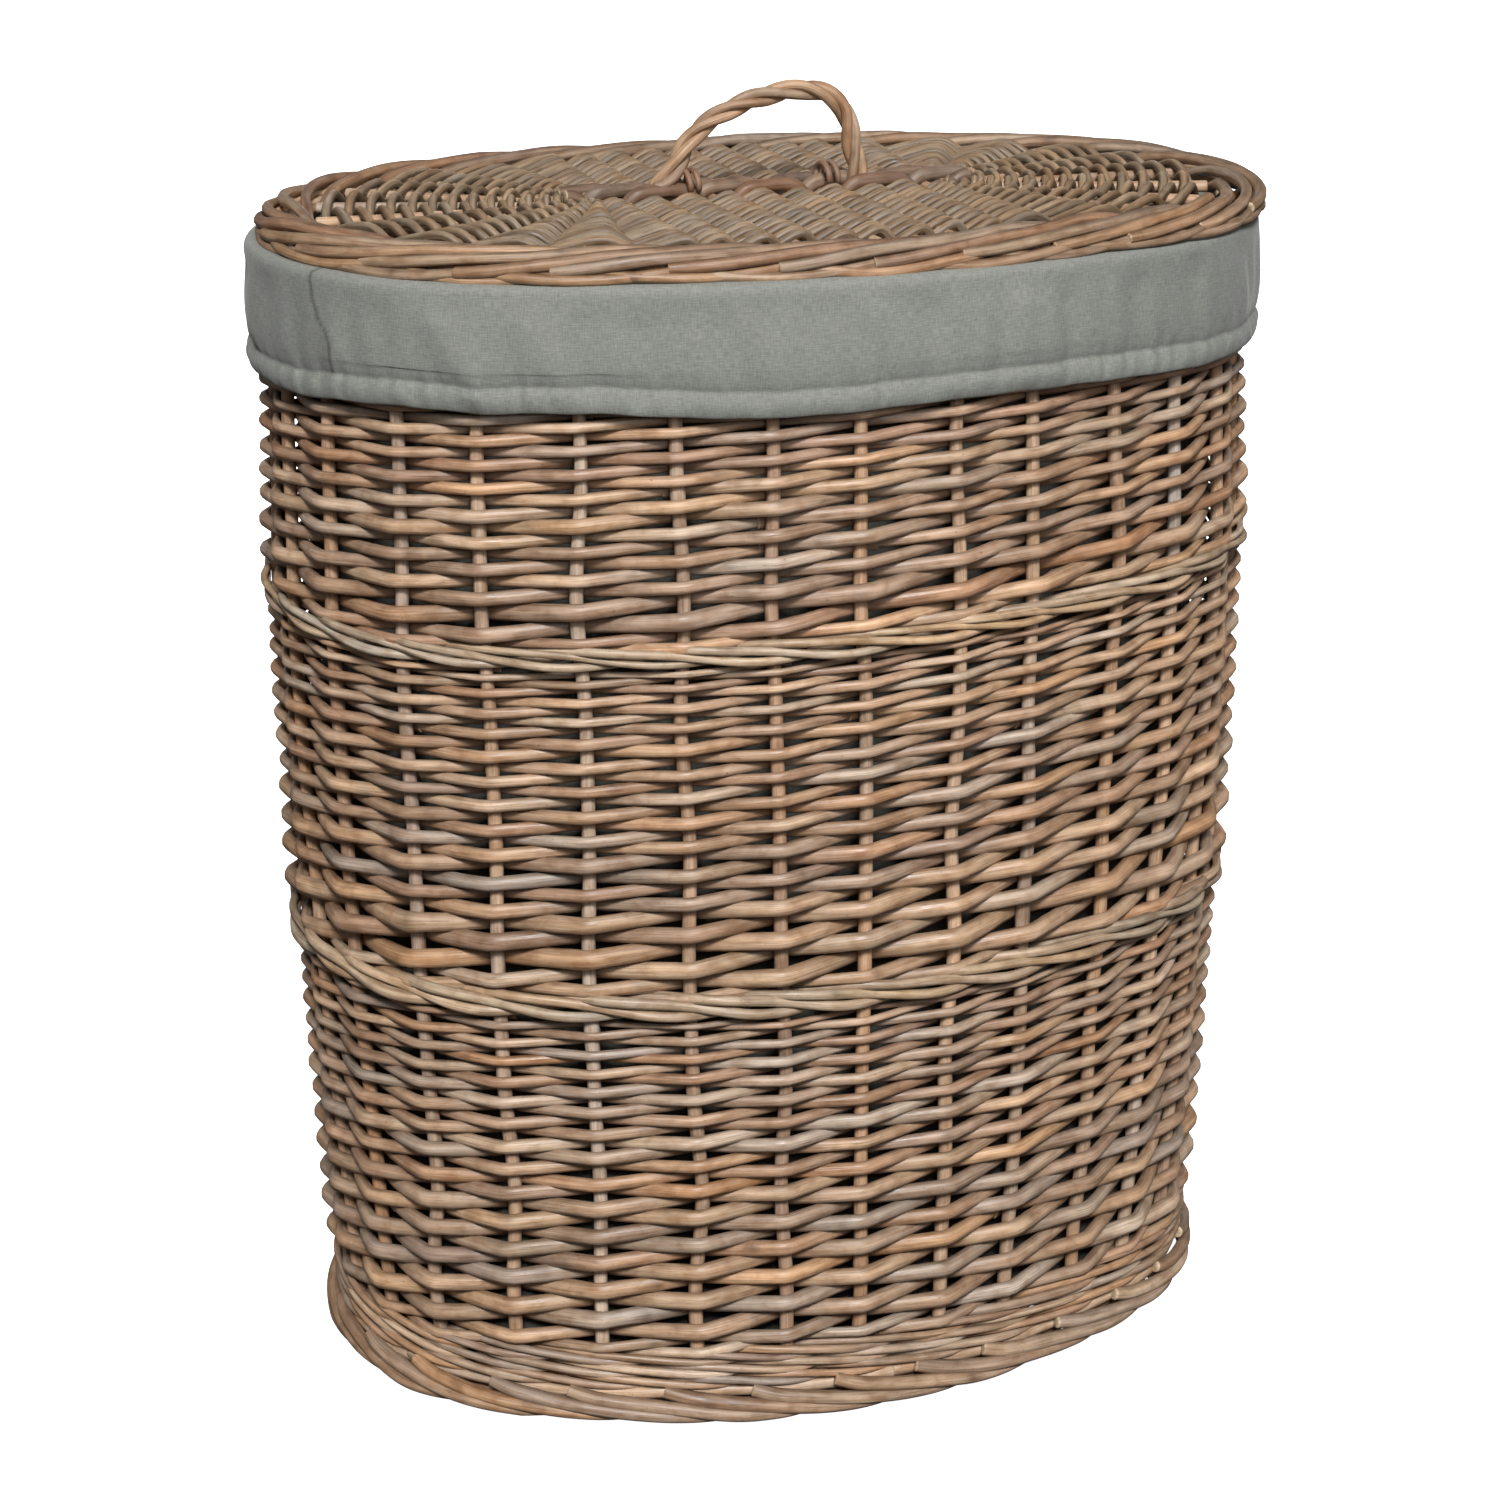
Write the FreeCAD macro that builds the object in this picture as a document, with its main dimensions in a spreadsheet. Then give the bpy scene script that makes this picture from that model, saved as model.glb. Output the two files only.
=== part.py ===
# Oval willow laundry basket with a removable linen liner and a loose woven lid.
# Frame: millimetres, +Z up, +X along the long axis, +Y along the short axis.
# Origin: centre of the footprint, on the surface the basket stands on.
import FreeCAD, Part
import math, os
from FreeCAD import Vector

doc = FreeCAD.newDocument("laundry_basket")

# ------------------------------------------------------------------ dimensions
sheet = doc.addObject("Spreadsheet::Sheet", "dims")
DIM = {}
row = [0]


def cell(alias, value, note):
    row[0] += 1
    sheet.set("A%d" % row[0], note)
    sheet.set("B%d" % row[0], repr(float(value)))
    sheet.setAlias("B%d" % row[0], alias)
    DIM[alias] = float(value)


# every oval is four tangent arcs: two end arcs about (+-c, 0) and two side arcs about (0, -+d)
cell("end_c", 100.0, "end arc centre from the middle, in every oval")
cell("wall_thick", 20.0, "woven wall, crest of weave outside to crest inside")
cell("fit_gap", 0.15, "clearance between a stake and the weave round it")
cell("stake_r", 4.4, "side stake radius")
cell("stake_count", 30, "side stakes")
cell("stake_low", 6.0, "lower end of a side stake")
cell("stake_high", 557.0, "upper end of a side stake")

LEVELS = [  # name, height, end arc radius at the outside of the weave, flatness of the sides
    ("foot", 0.0, 134.0, 29.0),
    ("upset", 22.0, 134.8, 28.6),
    ("siding_a", 42.0, 136.0, 28.2),
    ("wale_a", 224.0, 146.0, 24.9),
    ("siding_b", 237.0, 146.5, 24.7),
    ("wale_b", 402.0, 151.5, 22.2),
    ("siding_c", 413.0, 151.3, 22.0),
    ("border", 546.0, 146.0, 20.3),
    ("rim", 565.0, 145.0, 20.0),
]


def side_centre(c, h):
    """Side arc centre that makes an oval whose half width is its end radius plus h."""
    return (c * c - h * h) / (2.0 * h)


for nm, z, r, h in LEVELS:
    cell("z_" + nm, z, "height where the %s level starts" % nm)
    cell("r_" + nm, r, "outer end radius at the %s level" % nm)
    cell("d_" + nm, round(side_centre(100.0, h), 3), "side arc centre from the middle at the %s level" % nm)
cell("d_base", round(side_centre(100.0, 28.6), 3), "side arc centre of the woven base")
cell("d_bag", round(side_centre(100.0, 20.0), 3), "side arc centre of the linen bag")
cell("d_cuff", round(side_centre(100.0, 21.2), 3), "side arc centre of the cuff")
cell("d_lid", 268.7778, "side arc centre of the lid")

cell("base_low", 10.0, "underside of the woven base")
cell("base_high", 24.0, "top of the woven base")
cell("base_r", 114.2, "end radius of the woven base")
cell("base_long_r", 4.5, "base long stick radius")
cell("base_long_gap", 9.4, "base long stick spacing")
cell("base_long_len", 418.0, "base long stick length")
cell("base_cross_r", 5.5, "base cross stick radius")
cell("base_cross_gap", 32.0, "base cross stick spacing")
cell("base_mid", 17.0, "height of the base sticks")

cell("cloth", 1.2, "linen thickness in the bag")
cell("cloth_fold", 1.6, "linen thickness over the rim")
cell("bag_r_low", 114.6, "bag end radius at the bottom")
cell("bag_r_high", 124.0, "bag end radius from the first wale up")
cell("bag_low", 24.4, "underside of the bag")
cell("bag_mid", 224.0, "height where the bag reaches its full width")
cell("cuff_high", 567.0, "top of the cuff folded over the rim")
cell("cuff_low", 511.0, "lower edge of the cuff")
cell("cuff_in", 148.0, "end radius inside the cuff")
cell("cuff_out", 150.4, "end radius outside the cuff")
cell("hem_high", 523.0, "top of the hem channel")
cell("elastic_low", 513.0, "lower edge of the elastic")
cell("elastic_high", 521.0, "upper edge of the elastic")
cell("elastic_in", 148.9, "end radius inside the elastic")
cell("elastic_out", 149.6, "end radius outside the elastic")

cell("lid_low", 567.4, "underside of the lid border")
cell("lid_high", 581.5, "top of the lid border")
cell("lid_r", 150.0, "lid border outer end radius")
cell("lid_border_in", 121.0, "lid border inner end radius")
cell("lid_weave_r", 120.8, "lid weave end radius")
cell("lid_weave_low", 569.5, "underside of the lid weave")
cell("lid_weave_high", 583.2, "top of the lid weave")
cell("lid_stick_r", 2.9, "lid stick radius")
cell("lid_cross_mid", 573.2, "height of the lid cross sticks")
cell("lid_cross_gap", 18.2, "lid cross stick spacing")
cell("lid_long_mid", 579.6, "height of the lid long sticks")
cell("lid_long_gap", 6.4, "lid long stick spacing")
cell("lid_long_len", 430.0, "lid long stick length")

cell("strand_r", 2.75, "handle strand radius")
cell("strand_off", 3.25, "handle strand centre from the rope's centre line")
cell("wrap_r", 1.3, "radius of a strand end wrapped over the lid's spine")
cell("wrap_reach", 7.0, "reach of a wrapped strand end over the spine")
cell("wrap_left", -36.0, "left wrap from the middle")
cell("wrap_right", 34.0, "right wrap from the middle")


def half_width(d_cell, r, x):
    """Half width of an oval at x, for end radius r."""
    c, d = DIM["end_c"], DIM[d_cell]
    k, t = math.hypot(c, d), math.atan2(d, c)
    if abs(x) <= c + r * math.cos(t):
        return math.sqrt((r + k) ** 2 - x * x) - d
    return math.sqrt(r * r - (abs(x) - c) ** 2)


BASE_X = [DIM["base_cross_gap"] * i for i in range(-4, 5)]
LID_X = [DIM["lid_cross_gap"] * (i - 5.5) for i in range(12)]
for i, x in enumerate(BASE_X):
    cell("base_cross_len_%s" % "abcdefghijkl"[i], round(2 * (half_width("d_base", DIM["base_r"], x) - 3.0), 1),
         "base cross stick length at x = %g" % x)
for i, x in enumerate(LID_X):
    cell("lid_cross_len_%s" % "abcdefghijkl"[i], round(2 * (half_width("d_lid", DIM["lid_weave_r"], x) - 3.0), 1),
         "lid cross stick length at x = %g" % x)
doc.recompute()


# ------------------------------------------------------------------ helpers
def oval(name, r_cell, z_cell, d_cell, r_minus=None):
    """Closed oval sketch on a level: end radius and height come from the sheet."""
    c, d = DIM["end_c"], DIM[d_cell]
    r = DIM[r_cell] - (DIM[r_minus] if r_minus else 0.0)
    k = math.hypot(c, d)
    t = math.atan2(d, c)
    sk = doc.addObject("Sketcher::SketchObject", name)
    zax = Vector(0, 0, 1)

    def arc(cx, cy, rad, a0, a1):
        return Part.ArcOfCircle(Part.Circle(Vector(cx, cy, 0), zax, rad), a0, a1)

    sk.addGeometry([
        arc(c, 0, r, -t, t),
        arc(0, -d, r + k, t, math.pi - t),
        arc(-c, 0, r, math.pi - t, math.pi + t),
        arc(0, d, r + k, math.pi + t, 2 * math.pi - t),
    ], False)
    con = Sketcher.Constraint
    sk.addConstraint([
        con("Tangent", 0, 2, 1, 1), con("Tangent", 1, 2, 2, 1),
        con("Tangent", 2, 2, 3, 1), con("Tangent", 3, 2, 0, 1),
        con("PointOnObject", 0, 3, -1), con("PointOnObject", 2, 3, -1),
        con("PointOnObject", 1, 3, -2),
    ])
    i = sk.addConstraint(con("DistanceX", -1, 1, 0, 3, c))
    sk.renameConstraint(i, "c_right")
    i = sk.addConstraint(con("DistanceX", 2, 3, -1, 1, c))
    sk.renameConstraint(i, "c_left")
    i = sk.addConstraint(con("DistanceY", 1, 3, -1, 1, d))
    sk.renameConstraint(i, "d_side")
    i = sk.addConstraint(con("DistanceY", -1, 1, 3, 3, d))
    sk.renameConstraint(i, "d_back")
    i = sk.addConstraint(con("Radius", 0, r))
    sk.renameConstraint(i, "r_end")
    sk.setExpression("Constraints.c_right", "dims.end_c")
    sk.setExpression("Constraints.c_left", "dims.end_c")
    sk.setExpression("Constraints.d_side", "dims." + d_cell)
    sk.setExpression("Constraints.d_back", "dims." + d_cell)
    sk.setExpression("Constraints.r_end", "dims." + r_cell + (" - dims." + r_minus if r_minus else ""))
    sk.Placement = FreeCAD.Placement(Vector(0, 0, DIM[z_cell]), FreeCAD.Rotation())
    sk.setExpression("Placement.Base.z", "dims." + z_cell)
    return sk


def loft(name, *sections):
    lf = doc.addObject("Part::Loft", name)
    lf.Sections = list(sections)
    lf.Solid = True
    lf.Ruled = True
    return lf


def cut(name, base, tool):
    ct = doc.addObject("Part::Cut", name)
    ct.Base = base
    ct.Tool = tool
    return ct


NODES = []


def node(obj, label):
    obj.Label = label
    NODES.append(obj)
    return obj


def smooth_path(pts):
    """Straight runs joined by tangent arcs, as one wire."""
    pts = [Vector(*p) for p in pts]
    edges, radii = [], []
    start = pts[0]
    for i in range(1, len(pts) - 1):
        a, b, c = pts[i - 1], pts[i], pts[i + 1]
        u, v = (a - b), (c - b)
        lu, lv = u.Length, v.Length
        u.normalize()
        v.normalize()
        half = 0.5 * (math.pi - u.getAngle(v))
        if half < 1e-4:
            continue
        cutlen = 0.45 * min(lu, lv)
        rad = cutlen / math.tan(half)
        radii.append(rad)
        p1, p3 = b + u * cutlen, b + v * cutlen
        bis = (u + v)
        bis.normalize()
        ctr = b + bis * math.hypot(cutlen, rad)
        p2 = ctr - bis * rad
        if (p1 - start).Length > 1e-6:
            edges.append(Part.LineSegment(start, p1).toShape())
        edges.append(Part.Arc(p1, p2, p3).toShape())
        start = p3
    edges.append(Part.LineSegment(start, pts[-1]).toShape())
    return Part.Wire(edges), radii


def tube(pts, rad):
    wire, radii = smooth_path(pts)
    e0 = wire.Edges[0]
    tan = e0.tangentAt(e0.FirstParameter)
    prof = Part.Wire([Part.Circle(wire.Edges[0].valueAt(e0.FirstParameter), tan, rad).toShape()])
    s = wire.makePipeShell([prof], True, False)
    if s.Volume < 0:
        s.reverse()
    return s, wire.Length, radii


import Sketcher

# ------------------------------------------------------------------ side stakes
half_wall = DIM["wall_thick"] / 2.0


def around(share, d, r):
    """Unit outward direction and shifted centre at a share of the way round an oval, counter-clockwise from (0, -B).
    The point at end radius q is the centre plus q times the direction."""
    c = DIM["end_c"]
    k, t = math.hypot(c, d), math.atan2(d, c)
    end_len = 2 * t * 136.0
    side_len = (math.pi - 2 * t) * (136.0 + k)
    total = 2 * (end_len + side_len)
    s = ((share % 1.0) * total + side_len / 2.0) % total
    if s < side_len:
        a, ctr, off = math.pi + t + s / (136.0 + k), Vector(0, d, 0), k
    elif s < side_len + end_len:
        a, ctr, off = -t + (s - side_len) / 136.0, Vector(c, 0, 0), 0.0
    elif s < 2 * side_len + end_len:
        a, ctr, off = t + (s - side_len - end_len) / (136.0 + k), Vector(0, -d, 0), k
    else:
        a, ctr, off = math.pi - t + (s - 2 * side_len - end_len) / 136.0, Vector(-c, 0, 0), 0.0
    nrm = Vector(math.cos(a), math.sin(a), 0)
    return ctr + nrm * (off + r)


def lerp(name, z, column):
    """Value of a level column at any height."""
    for lo, hi in zip(LEVELS, LEVELS[1:]):
        if lo[1] <= z <= hi[1]:
            f = (z - lo[1]) / (hi[1] - lo[1])
            return lo[column] + (hi[column] - lo[column]) * f
    raise ValueError(name)


def stakes(rad, extra):
    out, length = [], 0.0
    n = int(DIM["stake_count"])
    heights = [DIM["stake_low"] - extra, DIM["z_siding_a"], DIM["z_wale_a"], DIM["z_wale_b"], DIM["stake_high"] + extra]
    for i in range(n):
        pts = []
        for z in heights:
            p = around(i / float(n), side_centre(DIM["end_c"], lerp("h", z, 3)), lerp("r", z, 2) - half_wall)
            pts.append((p.x, p.y, z))
        s, length, _ = tube(pts, rad)
        out.append(s)
    return out, length


solids, stake_len = stakes(DIM["stake_r"], 0.0)
side_stakes = doc.addObject("Part::Feature", "side_stakes_f")
side_stakes.Shape = Part.Compound(solids)
side_stakes.Placement = FreeCAD.Placement()
node(side_stakes, "side_stakes")
print("stake length", round(stake_len, 1), "volume ratio",
      round(solids[0].Volume / (math.pi * DIM["stake_r"] ** 2 * stake_len), 4))

holes, _ = stakes(DIM["stake_r"] + DIM["fit_gap"], DIM["fit_gap"])
channels = doc.addObject("Part::Feature", "stake_channels")
channels.Shape = Part.Compound(holes)

# ------------------------------------------------------------------ woven wall, band by band
outer, inner = {}, {}
for nm, z, r, h in LEVELS:
    outer[nm] = oval("o_" + nm, "r_" + nm, "z_" + nm, "d_" + nm)
    inner[nm] = oval("i_" + nm, "r_" + nm, "z_" + nm, "d_" + nm, r_minus="wall_thick")
BANDS = [
    ("foot_border", "foot", "upset"),
    ("upset_wale", "upset", "siding_a"),
    ("lower_siding", "siding_a", "wale_a"),
    ("lower_wale", "wale_a", "siding_b"),
    ("middle_siding", "siding_b", "wale_b"),
    ("upper_wale", "wale_b", "siding_c"),
    ("upper_siding", "siding_c", "border"),
    ("top_border", "border", "rim"),
]
for label, lo, hi in BANDS:
    lo_l = loft(label + "_out", outer[lo], outer[hi])
    hi_l = loft(label + "_in", inner[lo], inner[hi])
    ring = cut(label + "_ring", lo_l, hi_l)
    node(cut(label + "_f", ring, channels), label)

# ------------------------------------------------------------------ woven base
def stick(name, axis, rad_cell, len_cell, z_cell, pos, extra=0.0):
    cy = doc.addObject("Part::Cylinder", name)
    cy.Radius = DIM[rad_cell] + extra
    cy.setExpression("Radius", "dims.%s + %g" % (rad_cell, extra))
    cy.Height = DIM[len_cell]
    cy.setExpression("Height", "dims." + len_cell)
    half = DIM[len_cell] / 2.0
    if axis == "x":
        cy.Placement = FreeCAD.Placement(Vector(-half, pos, DIM[z_cell]),
                                         FreeCAD.Rotation(Vector(0, 0, 1), Vector(1, 0, 0)))
        cy.setExpression("Placement.Base.x", "-dims.%s / 2" % len_cell)
    else:
        cy.Placement = FreeCAD.Placement(Vector(pos, -half, DIM[z_cell]),
                                         FreeCAD.Rotation(Vector(0, 0, 1), Vector(0, 1, 0)))
        cy.setExpression("Placement.Base.y", "-dims.%s / 2" % len_cell)
    cy.setExpression("Placement.Base.z", "dims." + z_cell)
    return cy


def group(name, members, kind="Part::Compound"):
    g = doc.addObject(kind, name)
    if kind == "Part::Compound":
        g.Links = members
    else:
        g.Shapes = members
    return g


gap = DIM["base_long_gap"]
long_y = [-1.5 * gap, -0.5 * gap, 0.5 * gap, 1.5 * gap]
cross_x = BASE_X
base_long = group("base_long_f", [stick("base_long_%d" % i, "x", "base_long_r", "base_long_len", "base_mid", y)
                                  for i, y in enumerate(long_y)])
node(base_long, "base_long_sticks")
slit = doc.addObject("Part::Box", "base_slit")
slit.Length, slit.Width, slit.Height = 420, 4 * gap + 0.2, 2 * DIM["base_long_r"] + 0.3
slit.Placement = FreeCAD.Placement(Vector(-210, -(4 * gap + 0.2) / 2, DIM["base_mid"] - DIM["base_long_r"] - 0.15),
                                   FreeCAD.Rotation())
base_cross_raw = group("base_cross_raw", [stick("base_cross_%d" % i, "y", "base_cross_r", "base_cross_len_%s" % "abcdefghijkl"[i],
                                                "base_mid", x) for i, x in enumerate(cross_x)])
base_cross = cut("base_cross_f", base_cross_raw, slit)
node(base_cross, "base_cross_sticks")

body = doc.addObject("PartDesign::Body", "base_weave_body")
sk = body.newObject("Sketcher::SketchObject", "base_weave_sketch")
plane = [f for f in body.Origin.OriginFeatures if f.Role == "XY_Plane"][0]
sk.AttachmentSupport = [(plane, "")]
sk.MapMode = "FlatFace"
sk.AttachmentOffset = FreeCAD.Placement(Vector(0, 0, DIM["base_low"]), FreeCAD.Rotation())
sk.setExpression("AttachmentOffset.Base.z", "dims.base_low")


def fill_oval(sk, r_cell, d_cell):
    c, d, r = DIM["end_c"], DIM[d_cell], DIM[r_cell]
    k, t = math.hypot(c, d), math.atan2(d, c)
    zax = Vector(0, 0, 1)
    sk.addGeometry([
        Part.ArcOfCircle(Part.Circle(Vector(c, 0, 0), zax, r), -t, t),
        Part.ArcOfCircle(Part.Circle(Vector(0, -d, 0), zax, r + k), t, math.pi - t),
        Part.ArcOfCircle(Part.Circle(Vector(-c, 0, 0), zax, r), math.pi - t, math.pi + t),
        Part.ArcOfCircle(Part.Circle(Vector(0, d, 0), zax, r + k), math.pi + t, 2 * math.pi - t),
    ], False)
    con = Sketcher.Constraint
    sk.addConstraint([
        con("Tangent", 0, 2, 1, 1), con("Tangent", 1, 2, 2, 1),
        con("Tangent", 2, 2, 3, 1), con("Tangent", 3, 2, 0, 1),
        con("PointOnObject", 0, 3, -1), con("PointOnObject", 2, 3, -1),
        con("PointOnObject", 1, 3, -2),
    ])
    i = sk.addConstraint(con("DistanceX", -1, 1, 0, 3, c))
    sk.renameConstraint(i, "c_right")
    i = sk.addConstraint(con("DistanceX", 2, 3, -1, 1, c))
    sk.renameConstraint(i, "c_left")
    i = sk.addConstraint(con("DistanceY", 1, 3, -1, 1, d))
    sk.renameConstraint(i, "d_side")
    i = sk.addConstraint(con("DistanceY", -1, 1, 3, 3, d))
    sk.renameConstraint(i, "d_back")
    i = sk.addConstraint(con("Radius", 0, r))
    sk.renameConstraint(i, "r_end")
    sk.setExpression("Constraints.c_right", "dims.end_c")
    sk.setExpression("Constraints.c_left", "dims.end_c")
    sk.setExpression("Constraints.d_side", "dims." + d_cell)
    sk.setExpression("Constraints.d_back", "dims." + d_cell)
    sk.setExpression("Constraints.r_end", "dims." + r_cell)


fill_oval(sk, "base_r", "d_base")
pad = body.newObject("PartDesign::Pad", "base_weave_pad")
pad.Profile = sk
pad.Length = DIM["base_high"] - DIM["base_low"]
pad.setExpression("Length", "dims.base_high - dims.base_low")
base_tool = group("base_tool", [stick("base_lt_%d" % i, "x", "base_long_r", "base_long_len", "base_mid", y, 0.15)
                                for i, y in enumerate(long_y)] +
                  [stick("base_ct_%d" % i, "y", "base_cross_r", "base_cross_len_%s" % "abcdefghijkl"[i], "base_mid", x, 0.15)
                   for i, x in enumerate(cross_x)], "Part::MultiFuse")
node(cut("base_weave_f", body, base_tool), "base_weave")

# ------------------------------------------------------------------ linen liner
bag_o = [oval("bag_o0", "bag_r_low", "bag_low", "d_bag"), oval("bag_o1", "bag_r_high", "bag_mid", "d_bag"),
         oval("bag_o2", "bag_r_high", "z_rim", "d_bag")]
bag_i = [oval("bag_i0", "bag_r_low", "bag_low", "d_bag", r_minus="cloth"), oval("bag_i1", "bag_r_high", "bag_mid", "d_bag", r_minus="cloth"),
         oval("bag_i2", "bag_r_high", "z_rim", "d_bag", r_minus="cloth")]
bag_out = loft("bag_out", *bag_o)
bag_in = loft("bag_in", *bag_i)
bag_ring = cut("bag_ring", bag_out, bag_in)
bag_ring.Placement = FreeCAD.Placement(Vector(0, 0, 0.3), FreeCAD.Rotation())
node(bag_ring, "liner_side")

body2 = doc.addObject("PartDesign::Body", "liner_bottom_body")
sk2 = body2.newObject("Sketcher::SketchObject", "liner_bottom_sketch")
plane2 = [f for f in body2.Origin.OriginFeatures if f.Role == "XY_Plane"][0]
sk2.AttachmentSupport = [(plane2, "")]
sk2.MapMode = "FlatFace"
sk2.AttachmentOffset = FreeCAD.Placement(Vector(0, 0, DIM["bag_low"]), FreeCAD.Rotation())
sk2.setExpression("AttachmentOffset.Base.z", "dims.bag_low")
cell("bag_floor_r", DIM["bag_r_low"] - DIM["cloth"] - 0.1, "bag bottom panel end radius")
doc.recompute()
fill_oval(sk2, "bag_floor_r", "d_bag")
pad2 = body2.newObject("PartDesign::Pad", "liner_bottom_pad")
pad2.Profile = sk2
pad2.Length = DIM["cloth_fold"]
pad2.setExpression("Length", "dims.cloth_fold")
node(body2, "liner_bottom")

cell("cuff_roof", DIM["cuff_high"] - DIM["cloth_fold"], "underside of the cuff where it lies on the rim")
cell("bag_mouth", DIM["bag_r_high"] - DIM["cloth"], "end radius of the bag's mouth")
doc.recompute()
cuff_out = loft("cuff_out_l", oval("cuff_o0", "cuff_out", "cuff_low", "d_cuff"), oval("cuff_o1", "cuff_out", "cuff_high", "d_cuff"))
cuff_in = loft("cuff_in_l", oval("cuff_i0", "cuff_in", "cuff_low", "d_cuff"), oval("cuff_i1", "cuff_in", "cuff_roof", "d_cuff"))
cuff_hole = loft("cuff_hole_l", oval("cuff_h0", "bag_mouth", "cuff_low", "d_bag"), oval("cuff_h1", "bag_mouth", "cuff_high", "d_bag"))
pocket = cut("hem_pocket", loft("pk_o", oval("pk_o0", "elastic_out", "elastic_low", "d_cuff"), oval("pk_o1", "elastic_out", "elastic_high", "d_cuff")),
             loft("pk_i", oval("pk_i0", "elastic_in", "elastic_low", "d_cuff"), oval("pk_i1", "elastic_in", "elastic_high", "d_cuff")))
cuff_a = cut("cuff_a", cuff_out, cuff_in)
cuff_b = cut("cuff_b", cuff_a, cuff_hole)
cuff_c = cut("cuff_c", cuff_b, pocket)
node(cuff_c, "liner_cuff")

cell("el_low", DIM["elastic_low"] + 0.2, "lower edge of the elastic itself")
cell("el_high", DIM["elastic_high"] - 0.2, "upper edge of the elastic itself")
cell("el_in", DIM["elastic_in"] + 0.1, "end radius inside the elastic itself")
cell("el_out", DIM["elastic_out"] - 0.1, "end radius outside the elastic itself")
doc.recompute()
node(cut("elastic_f", loft("el_o", oval("el_o0", "el_out", "el_low", "d_cuff"), oval("el_o1", "el_out", "el_high", "d_cuff")),
         loft("el_i", oval("el_i0", "el_in", "el_low", "d_cuff"), oval("el_i1", "el_in", "el_high", "d_cuff"))), "cuff_elastic")

# ------------------------------------------------------------------ lid
lid_ring = cut("lid_ring", loft("lid_o", oval("lid_o0", "lid_r", "lid_low", "d_lid"), oval("lid_o1", "lid_r", "lid_high", "d_lid")),
               loft("lid_i", oval("lid_i0", "lid_border_in", "lid_low", "d_lid"), oval("lid_i1", "lid_border_in", "lid_high", "d_lid")))
node(lid_ring, "lid_border")
lg = DIM["lid_long_gap"]
lid_long_y = [-lg, 0.0, lg]
lid_cross_x = LID_X
node(group("lid_long_f", [stick("lid_long_%d" % i, "x", "lid_stick_r", "lid_long_len", "lid_long_mid", y)
                          for i, y in enumerate(lid_long_y)]), "lid_long_sticks")
node(group("lid_cross_f", [stick("lid_cross_%d" % i, "y", "lid_stick_r", "lid_cross_len_%s" % "abcdefghijkl"[i], "lid_cross_mid", x)
                           for i, x in enumerate(lid_cross_x)]), "lid_cross_sticks")
lid_slab = loft("lid_slab", oval("lw0", "lid_weave_r", "lid_weave_low", "d_lid"), oval("lw1", "lid_weave_r", "lid_weave_high", "d_lid"))
lid_tool = group("lid_tool", [stick("lid_lt_%d" % i, "x", "lid_stick_r", "lid_long_len", "lid_long_mid", y, 0.12)
                              for i, y in enumerate(lid_long_y)] +
                 [stick("lid_ct_%d" % i, "y", "lid_stick_r", "lid_cross_len_%s" % "abcdefghijkl"[i], "lid_cross_mid", x, 0.12)
                  for i, x in enumerate(lid_cross_x)], "Part::MultiFuse")
node(cut("lid_weave_f", lid_slab, lid_tool), "lid_weave")

# ------------------------------------------------------------------ handle: three willow strands laid together over an arch
ARCH = [(-46.5, 583.3), (-42.5, 594.0), (-35.5, 606.5), (-22.0, 616.5), (-5.5, 623.0), (11.5, 626.8),
        (25.0, 626.0), (36.5, 619.5), (43.5, 609.5), (47.0, 597.5), (49.5, 583.3)]


def offset_path(pts, dn, dy):
    """The arch moved dn along its own normal in the arch plane and dy across it."""
    out = []
    for i, (x, z) in enumerate(pts):
        a = pts[max(i - 1, 0)]
        b = pts[min(i + 1, len(pts) - 1)]
        tx, tz = b[0] - a[0], b[1] - a[1]
        ln = math.hypot(tx, tz)
        nx, nz = -tz / ln, tx / ln
        out.append((x + nx * dn, dy, z + nz * dn))
    z0 = DIM["lid_weave_high"] + 1.1
    first, last = list(out[0]), list(out[-1])
    first[2] = last[2] = z0
    out[0], out[-1] = tuple(first), tuple(last)
    return out


strands = []
for k3 in range(3):
    ang = math.radians(90 + 120 * k3)
    path = offset_path(ARCH, DIM["strand_off"] * math.sin(ang), DIM["strand_off"] * math.cos(ang))
    s, ln, rr = tube(path, DIM["strand_r"])
    print("strand", k3, "length", round(ln, 1), "min radius", round(min(rr), 1),
          "volume ratio", round(s.Volume / (math.pi * DIM["strand_r"] ** 2 * ln), 4))
    strands.append(s)
names3 = ["handle_strand_front", "handle_strand_back", "handle_strand_top"]
order = sorted(range(3), key=lambda i: strands[i].BoundBox.YMin + strands[i].BoundBox.YMax)
front, top, back = order[0], order[1], order[2]
for nm, i in (("handle_strand_front", front), ("handle_strand_back", back), ("handle_strand_top", top)):
    f = doc.addObject("Part::Feature", nm + "_f")
    f.Shape = strands[i]
    f.Placement = FreeCAD.Placement()
    node(f, nm)

for nm, x_cell in (("handle_wrap_left", "wrap_left"), ("handle_wrap_right", "wrap_right")):
    tr = doc.addObject("Part::Torus", nm + "_t")
    tr.Radius1 = DIM["wrap_reach"]
    tr.Radius2 = DIM["wrap_r"]
    tr.setExpression("Radius1", "dims.wrap_reach")
    tr.setExpression("Radius2", "dims.wrap_r")
    tr.Angle3 = 180.0
    tr.Placement = FreeCAD.Placement(Vector(DIM[x_cell], 0, DIM["lid_weave_high"] + 0.1),
                                     FreeCAD.Rotation(Vector(0, 1, 0), Vector(0, 0, 1), Vector(1, 0, 0), "XYZ"))
    tr.setExpression("Placement.Base.x", "dims." + x_cell)
    node(tr, nm)

doc.recompute()

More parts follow.
